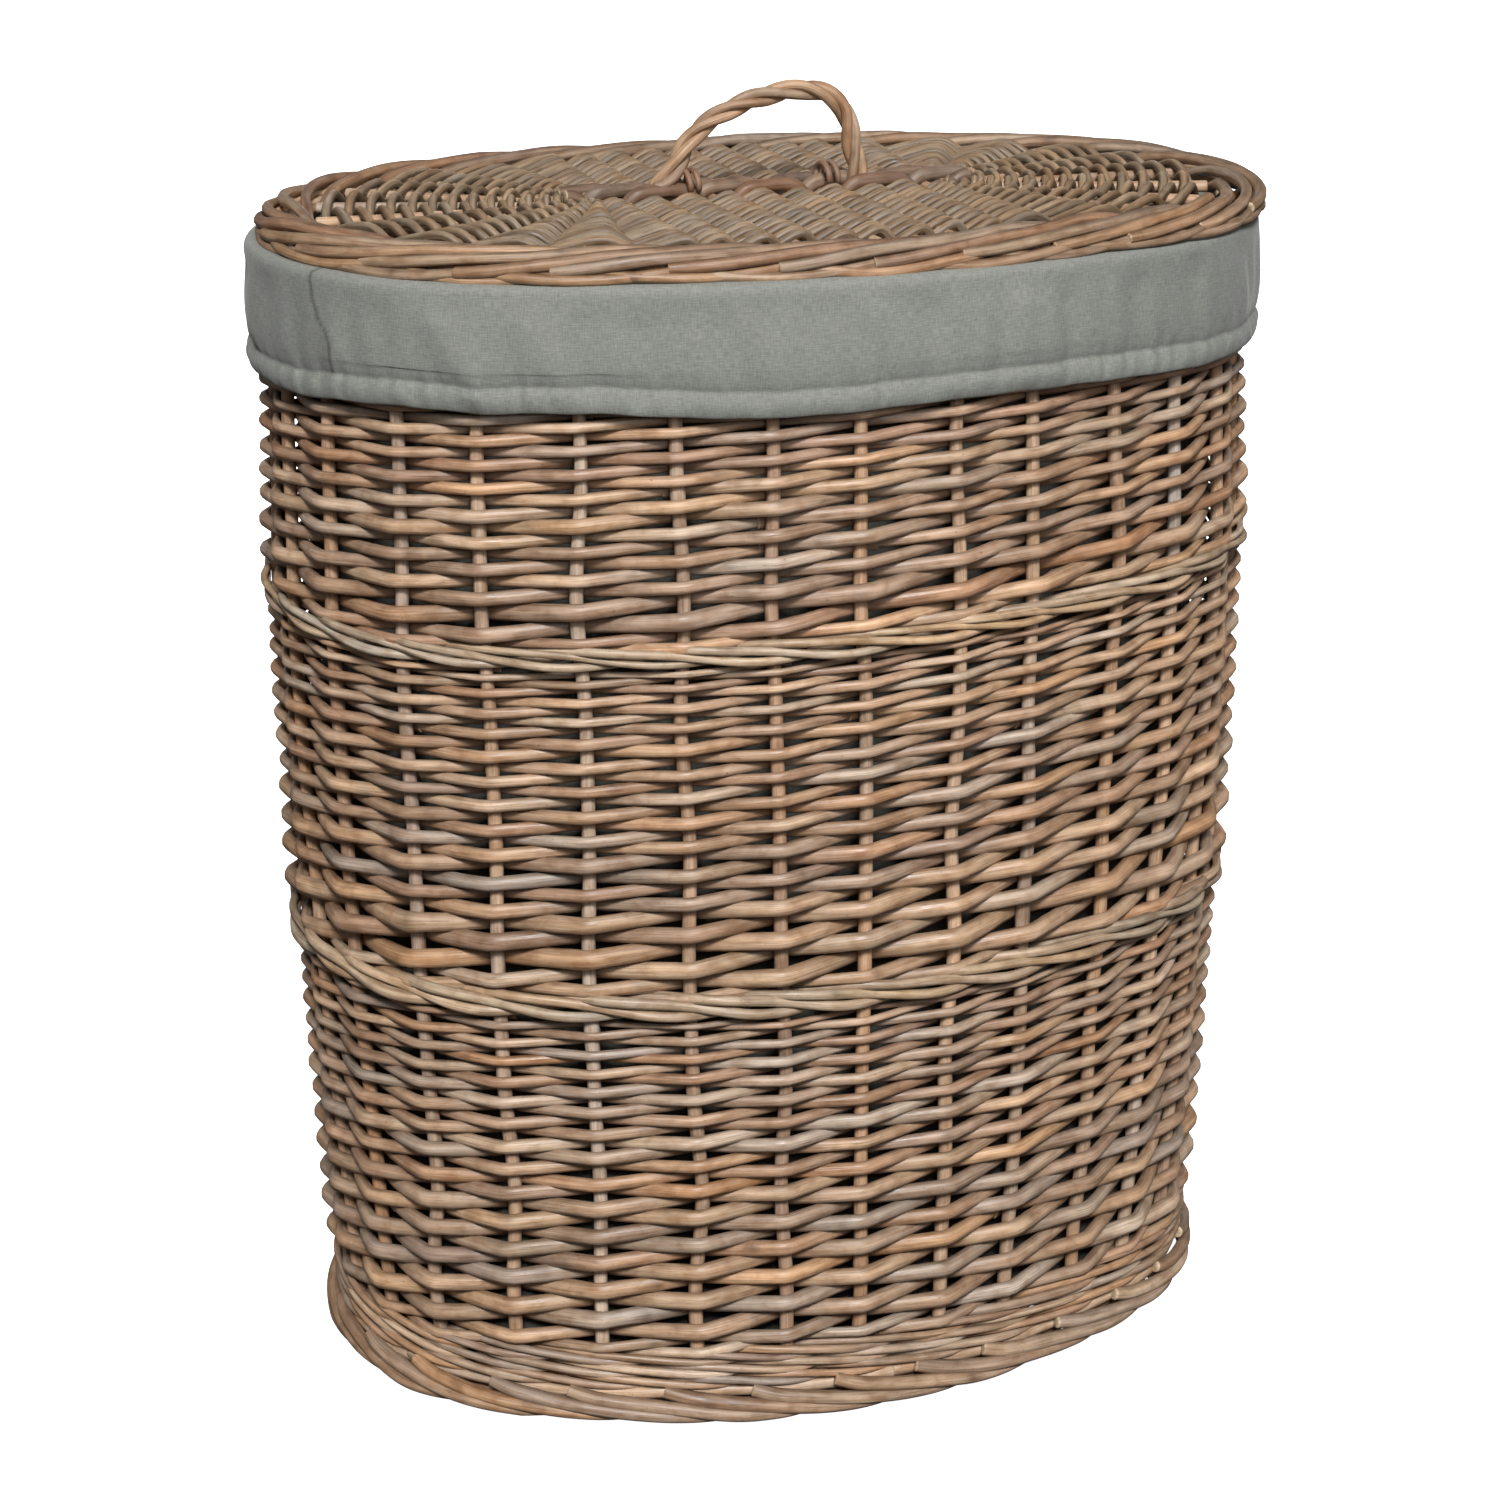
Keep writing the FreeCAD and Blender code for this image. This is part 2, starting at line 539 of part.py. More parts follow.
# ------------------------------------------------------------------ checks and export
bad = [o.Name for o in doc.Objects if any(s in ("Invalid", "Error") for s in o.State)]
if bad:
    raise RuntimeError("failed objects: %s" % bad)
os.makedirs("parts", exist_ok=True)
for old in os.listdir("parts"):
    if old.endswith(".step"):
        os.remove(os.path.join("parts", old))
for o in NODES:
    s = o.Shape
    if s.isNull() or not s.isValid():
        raise RuntimeError("bad shape: " + o.Label)
    bb = s.BoundBox
    print("%-22s solids %2d vol %9.1f cm3  x %.1f..%.1f y %.1f..%.1f z %.1f..%.1f" % (
        o.Label, len(s.Solids), s.Volume / 1000.0, bb.XMin, bb.XMax, bb.YMin, bb.YMax, bb.ZMin, bb.ZMax))
    s.exportStep("parts/%s.step" % o.Label)
print("nodes", len(NODES))
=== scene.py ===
"""Oval lidded willow laundry basket with a linen liner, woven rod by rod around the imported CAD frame.

Lengths in the helpers are millimetres in the row frame; meshes are written in metres.
"""
import math

import bpy
import numpy as np
from mathutils import Matrix, Vector


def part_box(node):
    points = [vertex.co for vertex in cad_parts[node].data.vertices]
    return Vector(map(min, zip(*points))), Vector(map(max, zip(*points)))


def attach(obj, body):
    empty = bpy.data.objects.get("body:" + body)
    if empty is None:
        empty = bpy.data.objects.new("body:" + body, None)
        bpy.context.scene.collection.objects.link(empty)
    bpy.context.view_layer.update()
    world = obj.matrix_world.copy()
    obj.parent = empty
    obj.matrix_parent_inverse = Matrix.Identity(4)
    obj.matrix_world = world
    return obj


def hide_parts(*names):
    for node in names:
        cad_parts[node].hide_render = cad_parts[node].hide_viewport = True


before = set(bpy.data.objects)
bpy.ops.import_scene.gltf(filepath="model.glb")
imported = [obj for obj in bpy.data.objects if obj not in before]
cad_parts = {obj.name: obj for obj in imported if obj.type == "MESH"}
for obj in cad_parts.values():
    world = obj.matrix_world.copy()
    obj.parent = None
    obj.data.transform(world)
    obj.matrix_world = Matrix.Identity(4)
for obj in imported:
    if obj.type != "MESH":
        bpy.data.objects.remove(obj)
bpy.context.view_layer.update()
RNG = np.random.default_rng(547)
TAU = 2 * math.pi

# ---------------------------------------------------------------- camera
cam_data = bpy.data.cameras.new("photo_view")
cam_data.sensor_width = 36.0
cam_data.sensor_fit = "HORIZONTAL"
cam_data.lens = 36.0 * 3181.45 / 1512.0
cam_data.shift_y = -0.00077
cam_data.clip_start = 0.05
cam_data.clip_end = 60.0
cam = bpy.data.objects.new("photo_view", cam_data)
bpy.context.scene.collection.objects.link(cam)
c_fw = Vector((0.27970186, 0.90057619, -0.33276026)).normalized()
c_rt = Vector((0.95434084, -0.2986574, -0.00610902)).normalized()
c_up = c_rt.cross(c_fw)
cam.matrix_world = Matrix(
    (
        (c_rt.x, c_up.x, -c_fw.x, -0.46010577),
        (c_rt.y, c_up.y, -c_fw.y, -1.46887425),
        (c_rt.z, c_up.z, -c_fw.z, 0.83395954),
        (0, 0, 0, 1),
    )
)
bpy.context.scene.camera = cam

# ---------------------------------------------------------------- oval frame of the basket
LZ = np.array([0, 22, 42, 224, 237, 402, 413, 546, 565.0])
LR = np.array([134, 134.8, 136, 146, 146.5, 151.5, 151.3, 146, 145.0])
LH = np.array([29, 28.6, 28.2, 24.9, 24.7, 22.2, 22.0, 20.3, 20.0])
N_ST = 30


def wall_r(z):
    """Outer end radius of the wall at a height."""
    return np.interp(z, LZ, LR)


def oval(q, rho, z, h=None):
    """Point at share q (in stake spacings, counter-clockwise from the front) on the oval of end radius rho."""
    q, rho, z = np.broadcast_arrays(np.asarray(q, float), np.asarray(rho, float), np.asarray(z, float))
    hh = np.interp(z, LZ, LH) if h is None else np.full(z.shape, float(h))
    d = (1e4 - hh * hh) / (2 * hh)
    k = np.hypot(100.0, d)
    t = np.arctan2(d, 100.0)
    el = 2 * t * 136.0
    sl = (math.pi - 2 * t) * (136.0 + k)
    s = (((q / N_ST) % 1.0) * 2 * (el + sl) + sl / 2) % (2 * (el + sl))
    a1, a2 = s < sl, s < sl + el
    a3 = s < 2 * sl + el
    ang = np.where(
        a1, math.pi + t + s / (136.0 + k),
        np.where(a2, -t + (s - sl) / 136.0, np.where(a3, t + (s - sl - el) / (136.0 + k), math.pi - t + (s - 2 * sl - el) / 136.0)),
    )
    cx = np.where(a1, 0.0, np.where(a2, 100.0, np.where(a3, 0.0, -100.0)))
    cy = np.where(a1, d, np.where(a2, 0.0, np.where(a3, -d, 0.0)))
    off = np.where(a1 | (a3 & ~a2), k, 0.0)
    return np.stack([cx + np.cos(ang) * (off + rho), cy + np.sin(ang) * (off + rho), z], -1)


def normal_of(q, z):
    a = oval(q, 150.0, z)
    b = oval(q, 120.0, z)
    n = a - b
    n[..., 2] = 0
    return n / np.linalg.norm(n, axis=-1, keepdims=True)


SK = [-12, -6, -5, -4, -3, -2, -1, 0, 1.5, 3, 5, 12]
WLO = [0.0, -0.12, -0.19, -0.13, -0.09, 0.06, 0.09, -0.01, 0.0, 0.09, 0.05, 0.0]
WHI = [0.0, -0.09, -0.08, -0.11, -0.085, -0.03, 0.0, -0.05, 0.0, 0.09, 0.05, 0.0]
_q = np.array([i if i <= 15 else i - 30 for i in range(N_ST)])
_jit = RNG.normal(0, 0.018, N_ST)
WARP = np.stack([np.interp(_q, SK, WLO) + _jit, np.interp(_q, SK, WHI) + _jit])
WARP = np.concatenate([WARP, WARP[:, :1]], 1)


def warp(s, z=230.0):
    """Stakes are not quite evenly spaced and lean a little; every rod follows the same uneven spacing."""
    s, z = np.broadcast_arrays(np.asarray(s, float), np.asarray(z, float))
    i = np.floor(s).astype(int) % N_ST
    f = s - np.floor(s)
    f = f * f * (3 - 2 * f)
    w = np.clip((z - 35) / 375, 0, 1.2)
    lo = WARP[0][i] * (1 - f) + WARP[0][i + 1] * f
    hi = WARP[1][i] * (1 - f) + WARP[1][i + 1] * f
    return s + lo * (1 - w) + hi * w


def smooth_noise(n_rows, x, scale, rng):
    """Row-wise smooth 1-D noise sampled at x (rows, n), feature length scale, amplitude about 1."""
    m = int(np.ceil((x.max() - x.min()) / scale)) + 4
    tab = rng.normal(0, 1, (n_rows, m + 3))
    u = (x - x.min()) / scale
    i = np.clip(np.floor(u).astype(int), 0, m)
    f = u - i
    r = np.arange(n_rows)[:, None]
    p0, p1, p2, p3 = tab[r, i], tab[r, i + 1], tab[r, np.minimum(i + 2, m + 2)], tab[r, np.minimum(i + 2, m + 2)]
    f3 = f * f * (3 - 2 * f)
    return p0 * (1 - f3) + p1 * f3


# ---------------------------------------------------------------- rod builder
def lin(c):
    c = np.asarray(c, float) / 255.0
    return np.where(c <= 0.04045, c / 12.92, ((c + 0.055) / 1.055) ** 2.4)


PALETTE = lin([
    (188, 160, 131), (182, 152, 122), (175, 146, 118), (192, 166, 137),
    (178, 144, 113), (170, 138, 110), (172, 149, 124), (186, 156, 124),
    (198, 174, 146), (176, 151, 126), (184, 150, 116),
])
THIN = lin([
    (190, 166, 135), (184, 160, 130), (176, 153, 124), (196, 174, 144),
    (172, 148, 120), (186, 158, 126), (182, 162, 134),
])
WARM = lin([
    (190, 160, 128), (184, 151, 119), (178, 142, 112), (194, 166, 136), (186, 154, 122), (176, 146, 118),
])
LIDC = lin([
    (186, 161, 131), (181, 155, 125), (176, 150, 121), (190, 166, 137), (183, 157, 129),
])
for _p in (PALETTE, THIN, WARM):
    _p *= np.array([0.99, 0.985, 1.05])
# the lid's willow: a flatter copy of the same palette, darkened as painted shade to offset the stronger light on the
# lid's top
LIDC[:] = (LIDC.mean(0) + 0.6 * (LIDC - LIDC.mean(0))) * np.array([0.62, 0.60, 0.585])
_rod_id = [0]


class Rods:
    """Collects tubes and writes them as one mesh with colour and grain attributes."""

    def __init__(self):
        self.v, self.f, self.tint, self.grain, self.base = [], [], [], [], 0

    def add(self, P, Rad, palette=PALETTE, ref=(0, 0, 1), sides=9, flat=1.0, cut_start=True, cut_end=True, tone=None, seed=None, knots=True, closed=False, lump=0.025, shade=None, crevice=None):
        """P (R,N,3) centre lines in mm, Rad (R,N). ref is a vector or (R,N,3) that the first side faces."""
        P = np.asarray(P, float)
        if P.ndim == 2:
            P = P[None]
        R, N = P.shape[:2]
        Rad = np.broadcast_to(np.asarray(Rad, float), (R, N)).copy()
        rng = np.random.default_rng(RNG.integers(1 << 31) if seed is None else seed)
        if closed:
            T = np.roll(P, -1, 1) - np.roll(P, 1, 1)
        else:
            T = np.gradient(P, axis=1)
        T /= np.linalg.norm(T, axis=2, keepdims=True) + 1e-12
        ref = np.broadcast_to(np.asarray(ref, float), P.shape)
        n1 = ref - (ref * T).sum(2, keepdims=True) * T
        n1 /= np.linalg.norm(n1, axis=2, keepdims=True) + 1e-12
        n2 = np.cross(T, n1)
        step = np.linalg.norm(np.diff(P, axis=1), axis=2)
        s = np.concatenate([np.zeros((R, 1)), np.cumsum(step, 1)], 1)
        # slight unevenness of thickness, and nodes where a side shoot was
        Rad *= 1 + lump * smooth_noise(R, s, 34.0, rng)
        base = palette[rng.integers(0, len(palette), R)]
        base = base * (1 + rng.normal(0, 0.055, (R, 1)))
        if tone is not None:
            base = base * np.asarray(tone)
        along = 1 + 0.085 * smooth_noise(R, s, 70.0, rng) + 0.05 * smooth_noise(R, s, 18.0, rng)
        warm = 0.05 * smooth_noise(R, s, 110.0, rng)
        col = base[:, None, :] * along[:, :, None] * np.stack([1 + warm, np.ones_like(warm), 1 - 1.4 * warm], -1)
        # painted shade: an optional multiplier that darkens stretches of the rod lying further back
        if shade is not None:
            col = col * np.broadcast_to(shade, (R, N))[:, :, None]
        ang0 = rng.uniform(0, TAU, (R, 1))
        th = TAU * np.arange(sides) / sides
        circ = np.ones((R, N, sides))
        kt = np.zeros((R, N, sides))
        if knots:
            L = s[:, -1].max()
            nk = max(1, int(L / 85.0))
            for _ in range(nk):
                ks = rng.uniform(0, 1, (R, 1)) * s[:, -1:]
                ka = rng.uniform(0, TAU, (R, 1))
                near = np.exp(-(((s - ks) / 3.2) ** 2))
                dirn = 0.5 + 0.5 * np.cos(th[None, None, :] - ka[:, :, None])
                kt += near[:, :, None] * dirn ** 6
                Rad *= 1 + 0.05 * np.exp(-(((s - ks) / 6.0) ** 2))
        ring = P[:, :, None, :] + Rad[:, :, None, None] * (
            np.cos(th)[None, None, :, None] * n1[:, :, None, :] + np.sin(th)[None, None, :, None] * n2[:, :, None, :] * flat
        ) * (1 + 0.07 * kt[..., None])
        rid = _rod_id[0] + np.arange(R)
        _rod_id[0] += R
        mean_r = Rad.mean(1)
        gx = s[:, :, None] + (rid[:, None, None] * 137.3) % 9000.0
        gy = (np.cos(th + 0) * 1.0)[None, None, :] * mean_r[:, None, None] + ang0[:, :, None] * 11
        gz = (np.sin(th + 0) * 1.0)[None, None, :] * mean_r[:, None, None] + 0 * gx
        grain = np.stack(np.broadcast_arrays(gx, gy, gz), -1)
        tint = col[:, :, None, :] * (1 - 0.42 * np.clip(kt, 0, 1))[..., None]
        if crevice is not None:
            # painted shade where a rod lies against its neighbours: (axis, strength)
            side = np.cos(th) if crevice[0] == "v" else np.sin(th)
            tint = tint * (1 - crevice[1] * np.abs(side) ** 3)[None, None, :, None] * np.array([1.0, 0.985, 0.96]) ** 0.5
        tint = np.concatenate([tint, np.ones(tint.shape[:3] + (1,))], -1)
        vid = self.base + np.arange(R * N * sides).reshape(R, N, sides)
        a = vid[:, :-1, :]
        b = vid[:, 1:, :]
        quads = np.stack([a, np.roll(a, -1, 2), np.roll(b, -1, 2), b], -1).reshape(-1, 4)
        if closed:
            a, b = vid[:, -1:, :], vid[:, :1, :]
            quads = np.concatenate([quads, np.stack([a, np.roll(a, -1, 2), np.roll(b, -1, 2), b], -1).reshape(-1, 4)])
        self.v.append(ring.reshape(-1, 3))
        self.tint.append(tint.reshape(-1, 4))
        self.grain.append(grain.reshape(-1, 3))
        self.f.append(quads)
        self.base += R * N * sides
        if closed:
            return
        for end, pale in ((0, cut_start), (N - 1, cut_end)):
            rg = ring[:, end]
            tt = T[:, end] * (1 if end else -1)
            ctr = P[:, end]
            # duplicated rim, a bevelled ring and a centre point, so a cut end shades flat and pale
            r1 = ctr[:, None, :] + (rg - ctr[:, None, :]) * 0.9 + tt[:, None, :] * Rad[:, end][:, None, None] * 0.16
            r2 = ctr[:, None, :] + (rg - ctr[:, None, :]) * 0.3 + tt[:, None, :] * Rad[:, end][:, None, None] * 0.2
            vs = np.concatenate([rg, r1, r2], 1)
            pc = lin((214, 190, 158)) if pale else None
            tc = np.repeat(tint[:, end][:, None], 3, 1)
            if pale:
                tc = tc.copy()
                tc[:, 1, :, :3] = pc * 0.9
                tc[:, 2, :, :3] = pc * 0.62
            tc = tc.reshape(R, -1, 4)
            gc = np.repeat(grain[:, end][:, None], 3, 1).reshape(R, -1, 3)
            vid = self.base + np.arange(R * 3 * sides).reshape(R, 3, sides)
            q = []
            for lo, hi in ((0, 1), (1, 2)):
                a, b = vid[:, lo], vid[:, hi]
                w = np.stack([a, np.roll(a, -1, 1), np.roll(b, -1, 1), b], -1).reshape(-1, 4)
                q.append(w if end else w[:, ::-1])
            self.v.append(vs.reshape(-1, 3))
            self.tint.append(tc.reshape(-1, 4))
            self.grain.append(gc.reshape(-1, 3))
            self.f.append(np.concatenate(q))
            self.base += R * 3 * sides
            # last cap: a fan of triangles written as degenerate-free ngon
            self.caps = getattr(self, "caps", [])
            cap = vid[:, 2]
            self.caps.append(cap if end else cap[:, ::-1])

    def mesh(self, name, material):
        v = np.concatenate(self.v) * 0.001
        f = np.concatenate(self.f)
        caps = getattr(self, "caps", [])
        me = bpy.data.meshes.new(name)
        loops = [f.reshape(-1)]
        sizes = [np.full(len(f), 4)]
        for c in caps:
            loops.append(c.reshape(-1))
            sizes.append(np.full(len(c), c.shape[1]))
        loops, sizes = np.concatenate(loops), np.concatenate(sizes)
        me.vertices.add(len(v))
        me.vertices.foreach_set("co", v.astype(np.float32).ravel())
        me.loops.add(len(loops))
        me.loops.foreach_set("vertex_index", loops.astype(np.int32))
        me.polygons.add(len(sizes))
        me.polygons.foreach_set("loop_start", np.concatenate([[0], np.cumsum(sizes)[:-1]]).astype(np.int32))
        me.polygons.foreach_set("loop_total", sizes.astype(np.int32))
        me.polygons.foreach_set("use_smooth", np.ones(len(sizes), bool))
        me.update(calc_edges=True)
        me.validate()
        t = me.attributes.new("tint", "FLOAT_COLOR", "POINT")
        t.data.foreach_set("color", np.clip(np.concatenate(self.tint), 0, 1).astype(np.float32).ravel())
        g = me.attributes.new("grain", "FLOAT_VECTOR", "POINT")
        g.data.foreach_set("vector", np.concatenate(self.grain).astype(np.float32).ravel())
        me.materials.append(material)
        o = bpy.data.objects.new(name, me)
        bpy.context.scene.collection.objects.link(o)
        return o


# ---------------------------------------------------------------- materials
def new_material(name):
    m = bpy.data.materials.new(name)
    m.use_nodes = True
    nt = m.node_tree
    bsdf = nt.nodes["Principled BSDF"]
    return m, nt, bsdf


def node(nt, kind, **kw):
    n = nt.nodes.new(kind)
    for k, v in kw.items():
        setattr(n, k, v)
    return n


def willow(name, streak=0.30, rough=0.40, bump=0.30, sheen=False):
    """Bare willow rod: lengthwise grain streaks, blotches, small dark flecks, satin peeled surface."""
    m, nt, b = new_material(name)
    L = nt.links
    tint = node(nt, "ShaderNodeAttribute", attribute_name="tint")
    grain = node(nt, "ShaderNodeAttribute", attribute_name="grain")

    def noise(scale, detail, dist=0.0, freq=1.0):
        mp = node(nt, "ShaderNodeMapping", vector_type="POINT")
        mp.inputs["Scale"].default_value = scale
        L.new(grain.outputs["Vector"], mp.inputs["Vector"])
        n = node(nt, "ShaderNodeTexNoise")
        n.inputs["Scale"].default_value = freq
        n.inputs["Detail"].default_value = detail
        n.inputs["Distortion"].default_value = dist
        L.new(mp.outputs["Vector"], n.inputs["Vector"])
        return n

    def ramp(src, stops):
        r = node(nt, "ShaderNodeValToRGB")
        el = r.color_ramp.elements
        while len(el) < len(stops):
            el.new(0.5)
        for e, (p, c) in zip(el, stops):
            e.position = p
            e.color = (c, c, c, 1) if not hasattr(c, "__len__") else (*c, 1)
        L.new(src.outputs["Fac"], r.inputs["Fac"])
        return r

    def mult(a, bb, fac=1.0):
        x = node(nt, "ShaderNodeMix", data_type="RGBA", blend_type="MULTIPLY")
        x.inputs["Factor"].default_value = fac
        L.new(a, x.inputs["A"])
        L.new(bb, x.inputs["B"])
        return x.outputs["Result"]

    fine = noise((0.045, 1.7, 1.7), 5.0)
    mid = noise((0.035, 0.42, 0.42), 3.0, 0.4)
    blot = noise((0.11, 0.16, 0.16), 3.0, 0.3)
    fleck = noise((0.55, 1.1, 1.1), 2.0)
    c1 = ramp(fine, [(0.30, 1 - streak * 1.15), (0.5, 1.0), (0.72, 1 + streak * 0.45)])
    c2 = ramp(mid, [(0.34, (0.80, 0.74, 0.68)), (0.52, (1.0, 1.0, 1.0)), (0.70, (1.12, 1.13, 1.13))])
    c3 = ramp(blot, [(0.34, (0.80, 0.75, 0.71)), (0.50, (1.0, 1.0, 1.0)), (0.66, (1.10, 1.13, 1.17))])
    c4 = ramp(fleck, [(0.24, (0.52, 0.42, 0.34)), (0.315, (1.0, 1.0, 1.0))])
    col = mult(tint.outputs["Color"], c1.outputs["Color"])
    col = mult(col, c2.outputs["Color"])
    col = mult(col, c3.outputs["Color"])
    col = mult(col, c4.outputs["Color"])
    L.new(col, b.inputs["Base Color"])
    rr = node(nt, "ShaderNodeMapRange")
    rr.inputs["From Min"].default_value = 0.3
    rr.inputs["From Max"].default_value = 0.7
    rr.inputs["To Min"].default_value = rough - 0.07
    rr.inputs["To Max"].default_value = rough + 0.13
    L.new(blot.outputs["Fac"], rr.inputs["Value"])
    L.new(rr.outputs["Result"], b.inputs["Roughness"])
    bp = node(nt, "ShaderNodeBump")
    bp.inputs["Strength"].default_value = bump
    bp.inputs["Distance"].default_value = 0.0005
    L.new(fine.outputs["Fac"], bp.inputs["Height"])
    bp2 = node(nt, "ShaderNodeBump")
    bp2.inputs["Strength"].default_value = bump * 0.8
    bp2.inputs["Distance"].default_value = 0.0012
    L.new(mid.outputs["Fac"], bp2.inputs["Height"])
    L.new(bp.outputs["Normal"], bp2.inputs["Normal"])
    L.new(bp2.outputs["Normal"], b.inputs["Normal"])
    b.inputs["Specular IOR Level"].default_value = 0.5
    return m


M_WILLOW = willow("buff_willow")
M_STAKE = willow("buff_willow_stakes", streak=0.26, rough=0.54)
M_LID = willow("buff_willow_lid", streak=0.28, rough=0.46)
M_HANDLE = willow("twisted_willow", streak=0.34, rough=0.5, bump=0.4)


def linen(name, base, thread=0.24, weave=1.0, bump=0.5):
    """Plain linen: uneven warp and weft threads with slubs, read from lengths along and across the cloth."""
    m, nt, b = new_material(name)
    L = nt.links
    at = node(nt, "ShaderNodeAttribute", attribute_name="cloth")
    shade = node(nt, "ShaderNodeAttribute", attribute_name="tint")

    def noise(scale, detail, dist=0.0):
        mp = node(nt, "ShaderNodeMapping", vector_type="POINT")
        mp.inputs["Scale"].default_value = scale
        L.new(at.outputs["Vector"], mp.inputs["Vector"])
        n = node(nt, "ShaderNodeTexNoise")
        n.inputs["Scale"].default_value = 1.0
        n.inputs["Detail"].default_value = detail
        n.inputs["Distortion"].default_value = dist
        L.new(mp.outputs["Vector"], n.inputs["Vector"])
        return n

    warp_n = noise((1.7 * weave, 0.22, 0.1), 2.0)
    weft_n = noise((0.22, 1.7 * weave, 0.1), 2.0)
    slub = noise((0.09, 0.8, 0.1), 2.0)
    big = noise((0.012, 0.014, 0.02), 3.0)
    add = node(nt, "ShaderNodeMath", operation="ADD")
    L.new(warp_n.outputs["Fac"], add.inputs[0])
    L.new(weft_n.outputs["Fac"], add.inputs[1])
    half = node(nt, "ShaderNodeMath", operation="MULTIPLY")
    half.inputs[1].default_value = 0.5
    L.new(add.outputs["Value"], half.inputs[0])

    def ramp(sock, lo, hi, a, c):
        r = node(nt, "ShaderNodeValToRGB")
        r.color_ramp.elements[0].position = lo
        r.color_ramp.elements[0].color = (*a, 1)
        r.color_ramp.elements[1].position = hi
        r.color_ramp.elements[1].color = (*c, 1)
        L.new(sock, r.inputs["Fac"])
        return r.outputs["Color"]

    def mult(a, bb):
        x = node(nt, "ShaderNodeMix", data_type="RGBA", blend_type="MULTIPLY")
        x.inputs["Factor"].default_value = 1.0
        L.new(a, x.inputs["A"])
        L.new(bb, x.inputs["B"])
        return x.outputs["Result"]

    bc = np.asarray(base)
    col = ramp(half.outputs["Value"], 0.36, 0.64, tuple(bc * (1 - thread)), tuple(bc * (1 + thread * 0.7)))
    col = mult(col, ramp(slub.outputs["Fac"], 0.35, 0.68, (0.965, 0.96, 0.955), (1.03, 1.03, 1.025)))
    col = mult(col, ramp(big.outputs["Fac"], 0.3, 0.7, (0.95, 0.95, 0.95), (1.03, 1.03, 1.03)))
    col = mult(col, shade.outputs["Color"])
    L.new(col, b.inputs["Base Color"])
    b.inputs["Roughness"].default_value = 0.88
    b.inputs["Specular IOR Level"].default_value = 0.22
    b.inputs["Sheen Weight"].default_value = 0.18
    b.inputs["Sheen Roughness"].default_value = 0.45
    bp = node(nt, "ShaderNodeBump")
    bp.inputs["Strength"].default_value = bump
    bp.inputs["Distance"].default_value = 0.0006
    L.new(half.outputs["Value"], bp.inputs["Height"])
    L.new(bp.outputs["Normal"], b.inputs["Normal"])
    return m


M_LINEN = linen("grey_linen", lin((136, 138, 132)), thread=0.23)
# the bag and its bottom use a darker copy of the cuff's grey linen: painted shade for the cloth hanging in the shadow
# behind the wall and inside the basket
M_LINEN_SHADED = linen("grey_linen_bag_shaded", lin((84, 84, 78)))
M_ELASTIC = linen("hem_elastic", lin((196, 194, 186)), thread=0.12, weave=1.6, bump=0.7)
M_THREAD = linen("hem_thread", lin((150, 148, 138)), thread=0.15, weave=2.0, bump=0.3)


# ---------------------------------------------------------------- levels of the side weaving
LOW4 = np.array([43.9, 61.3, 77.3, 93.2, 107.3, 121.9, 135.2, 147.9, 160.0, 171.4, 181.7, 191.9, 201.5, 211.1])
MID4 = np.array([238.3, 257.9, 273.2, 286.4, 300.0, 311.5, 324.0, 334.9, 346.2, 357.4, 366.7, 376.3, 384.0])
UP4 = np.array([411.3, 427.5, 440.4, 452.7, 464.9, 476.7, 487.5, 497.8, 508.0, 517.8, 527.2, 536.2, 544.8])


def ang_of(s):
    p = oval(s, 146.0, 300.0)
    return np.arctan2(p[..., 1], p[..., 0])


def wale1(s):
    return 407.0 + 7.5 * np.cos(ang_of(s) - 0.775)


def wale2(s):
    return 230.0 + 3.3 * np.cos(ang_of(s) - 1.28)


ST_IN = 9.7  # stake centre line inward of the wall's outer face
ST_R = 3.35


def tri(c):
    """Nearly straight between the stakes, bent where it crosses one."""
    return 1.06 * (0.811 * np.cos(c) + 0.0901 * np.cos(3 * c) + 0.0324 * np.cos(5 * c) + 0.0165 * np.cos(7 * c))


STARTS = 12  # rods climbing together
CLIMB = STARTS / 60.0  # levels gained from one stake to the next


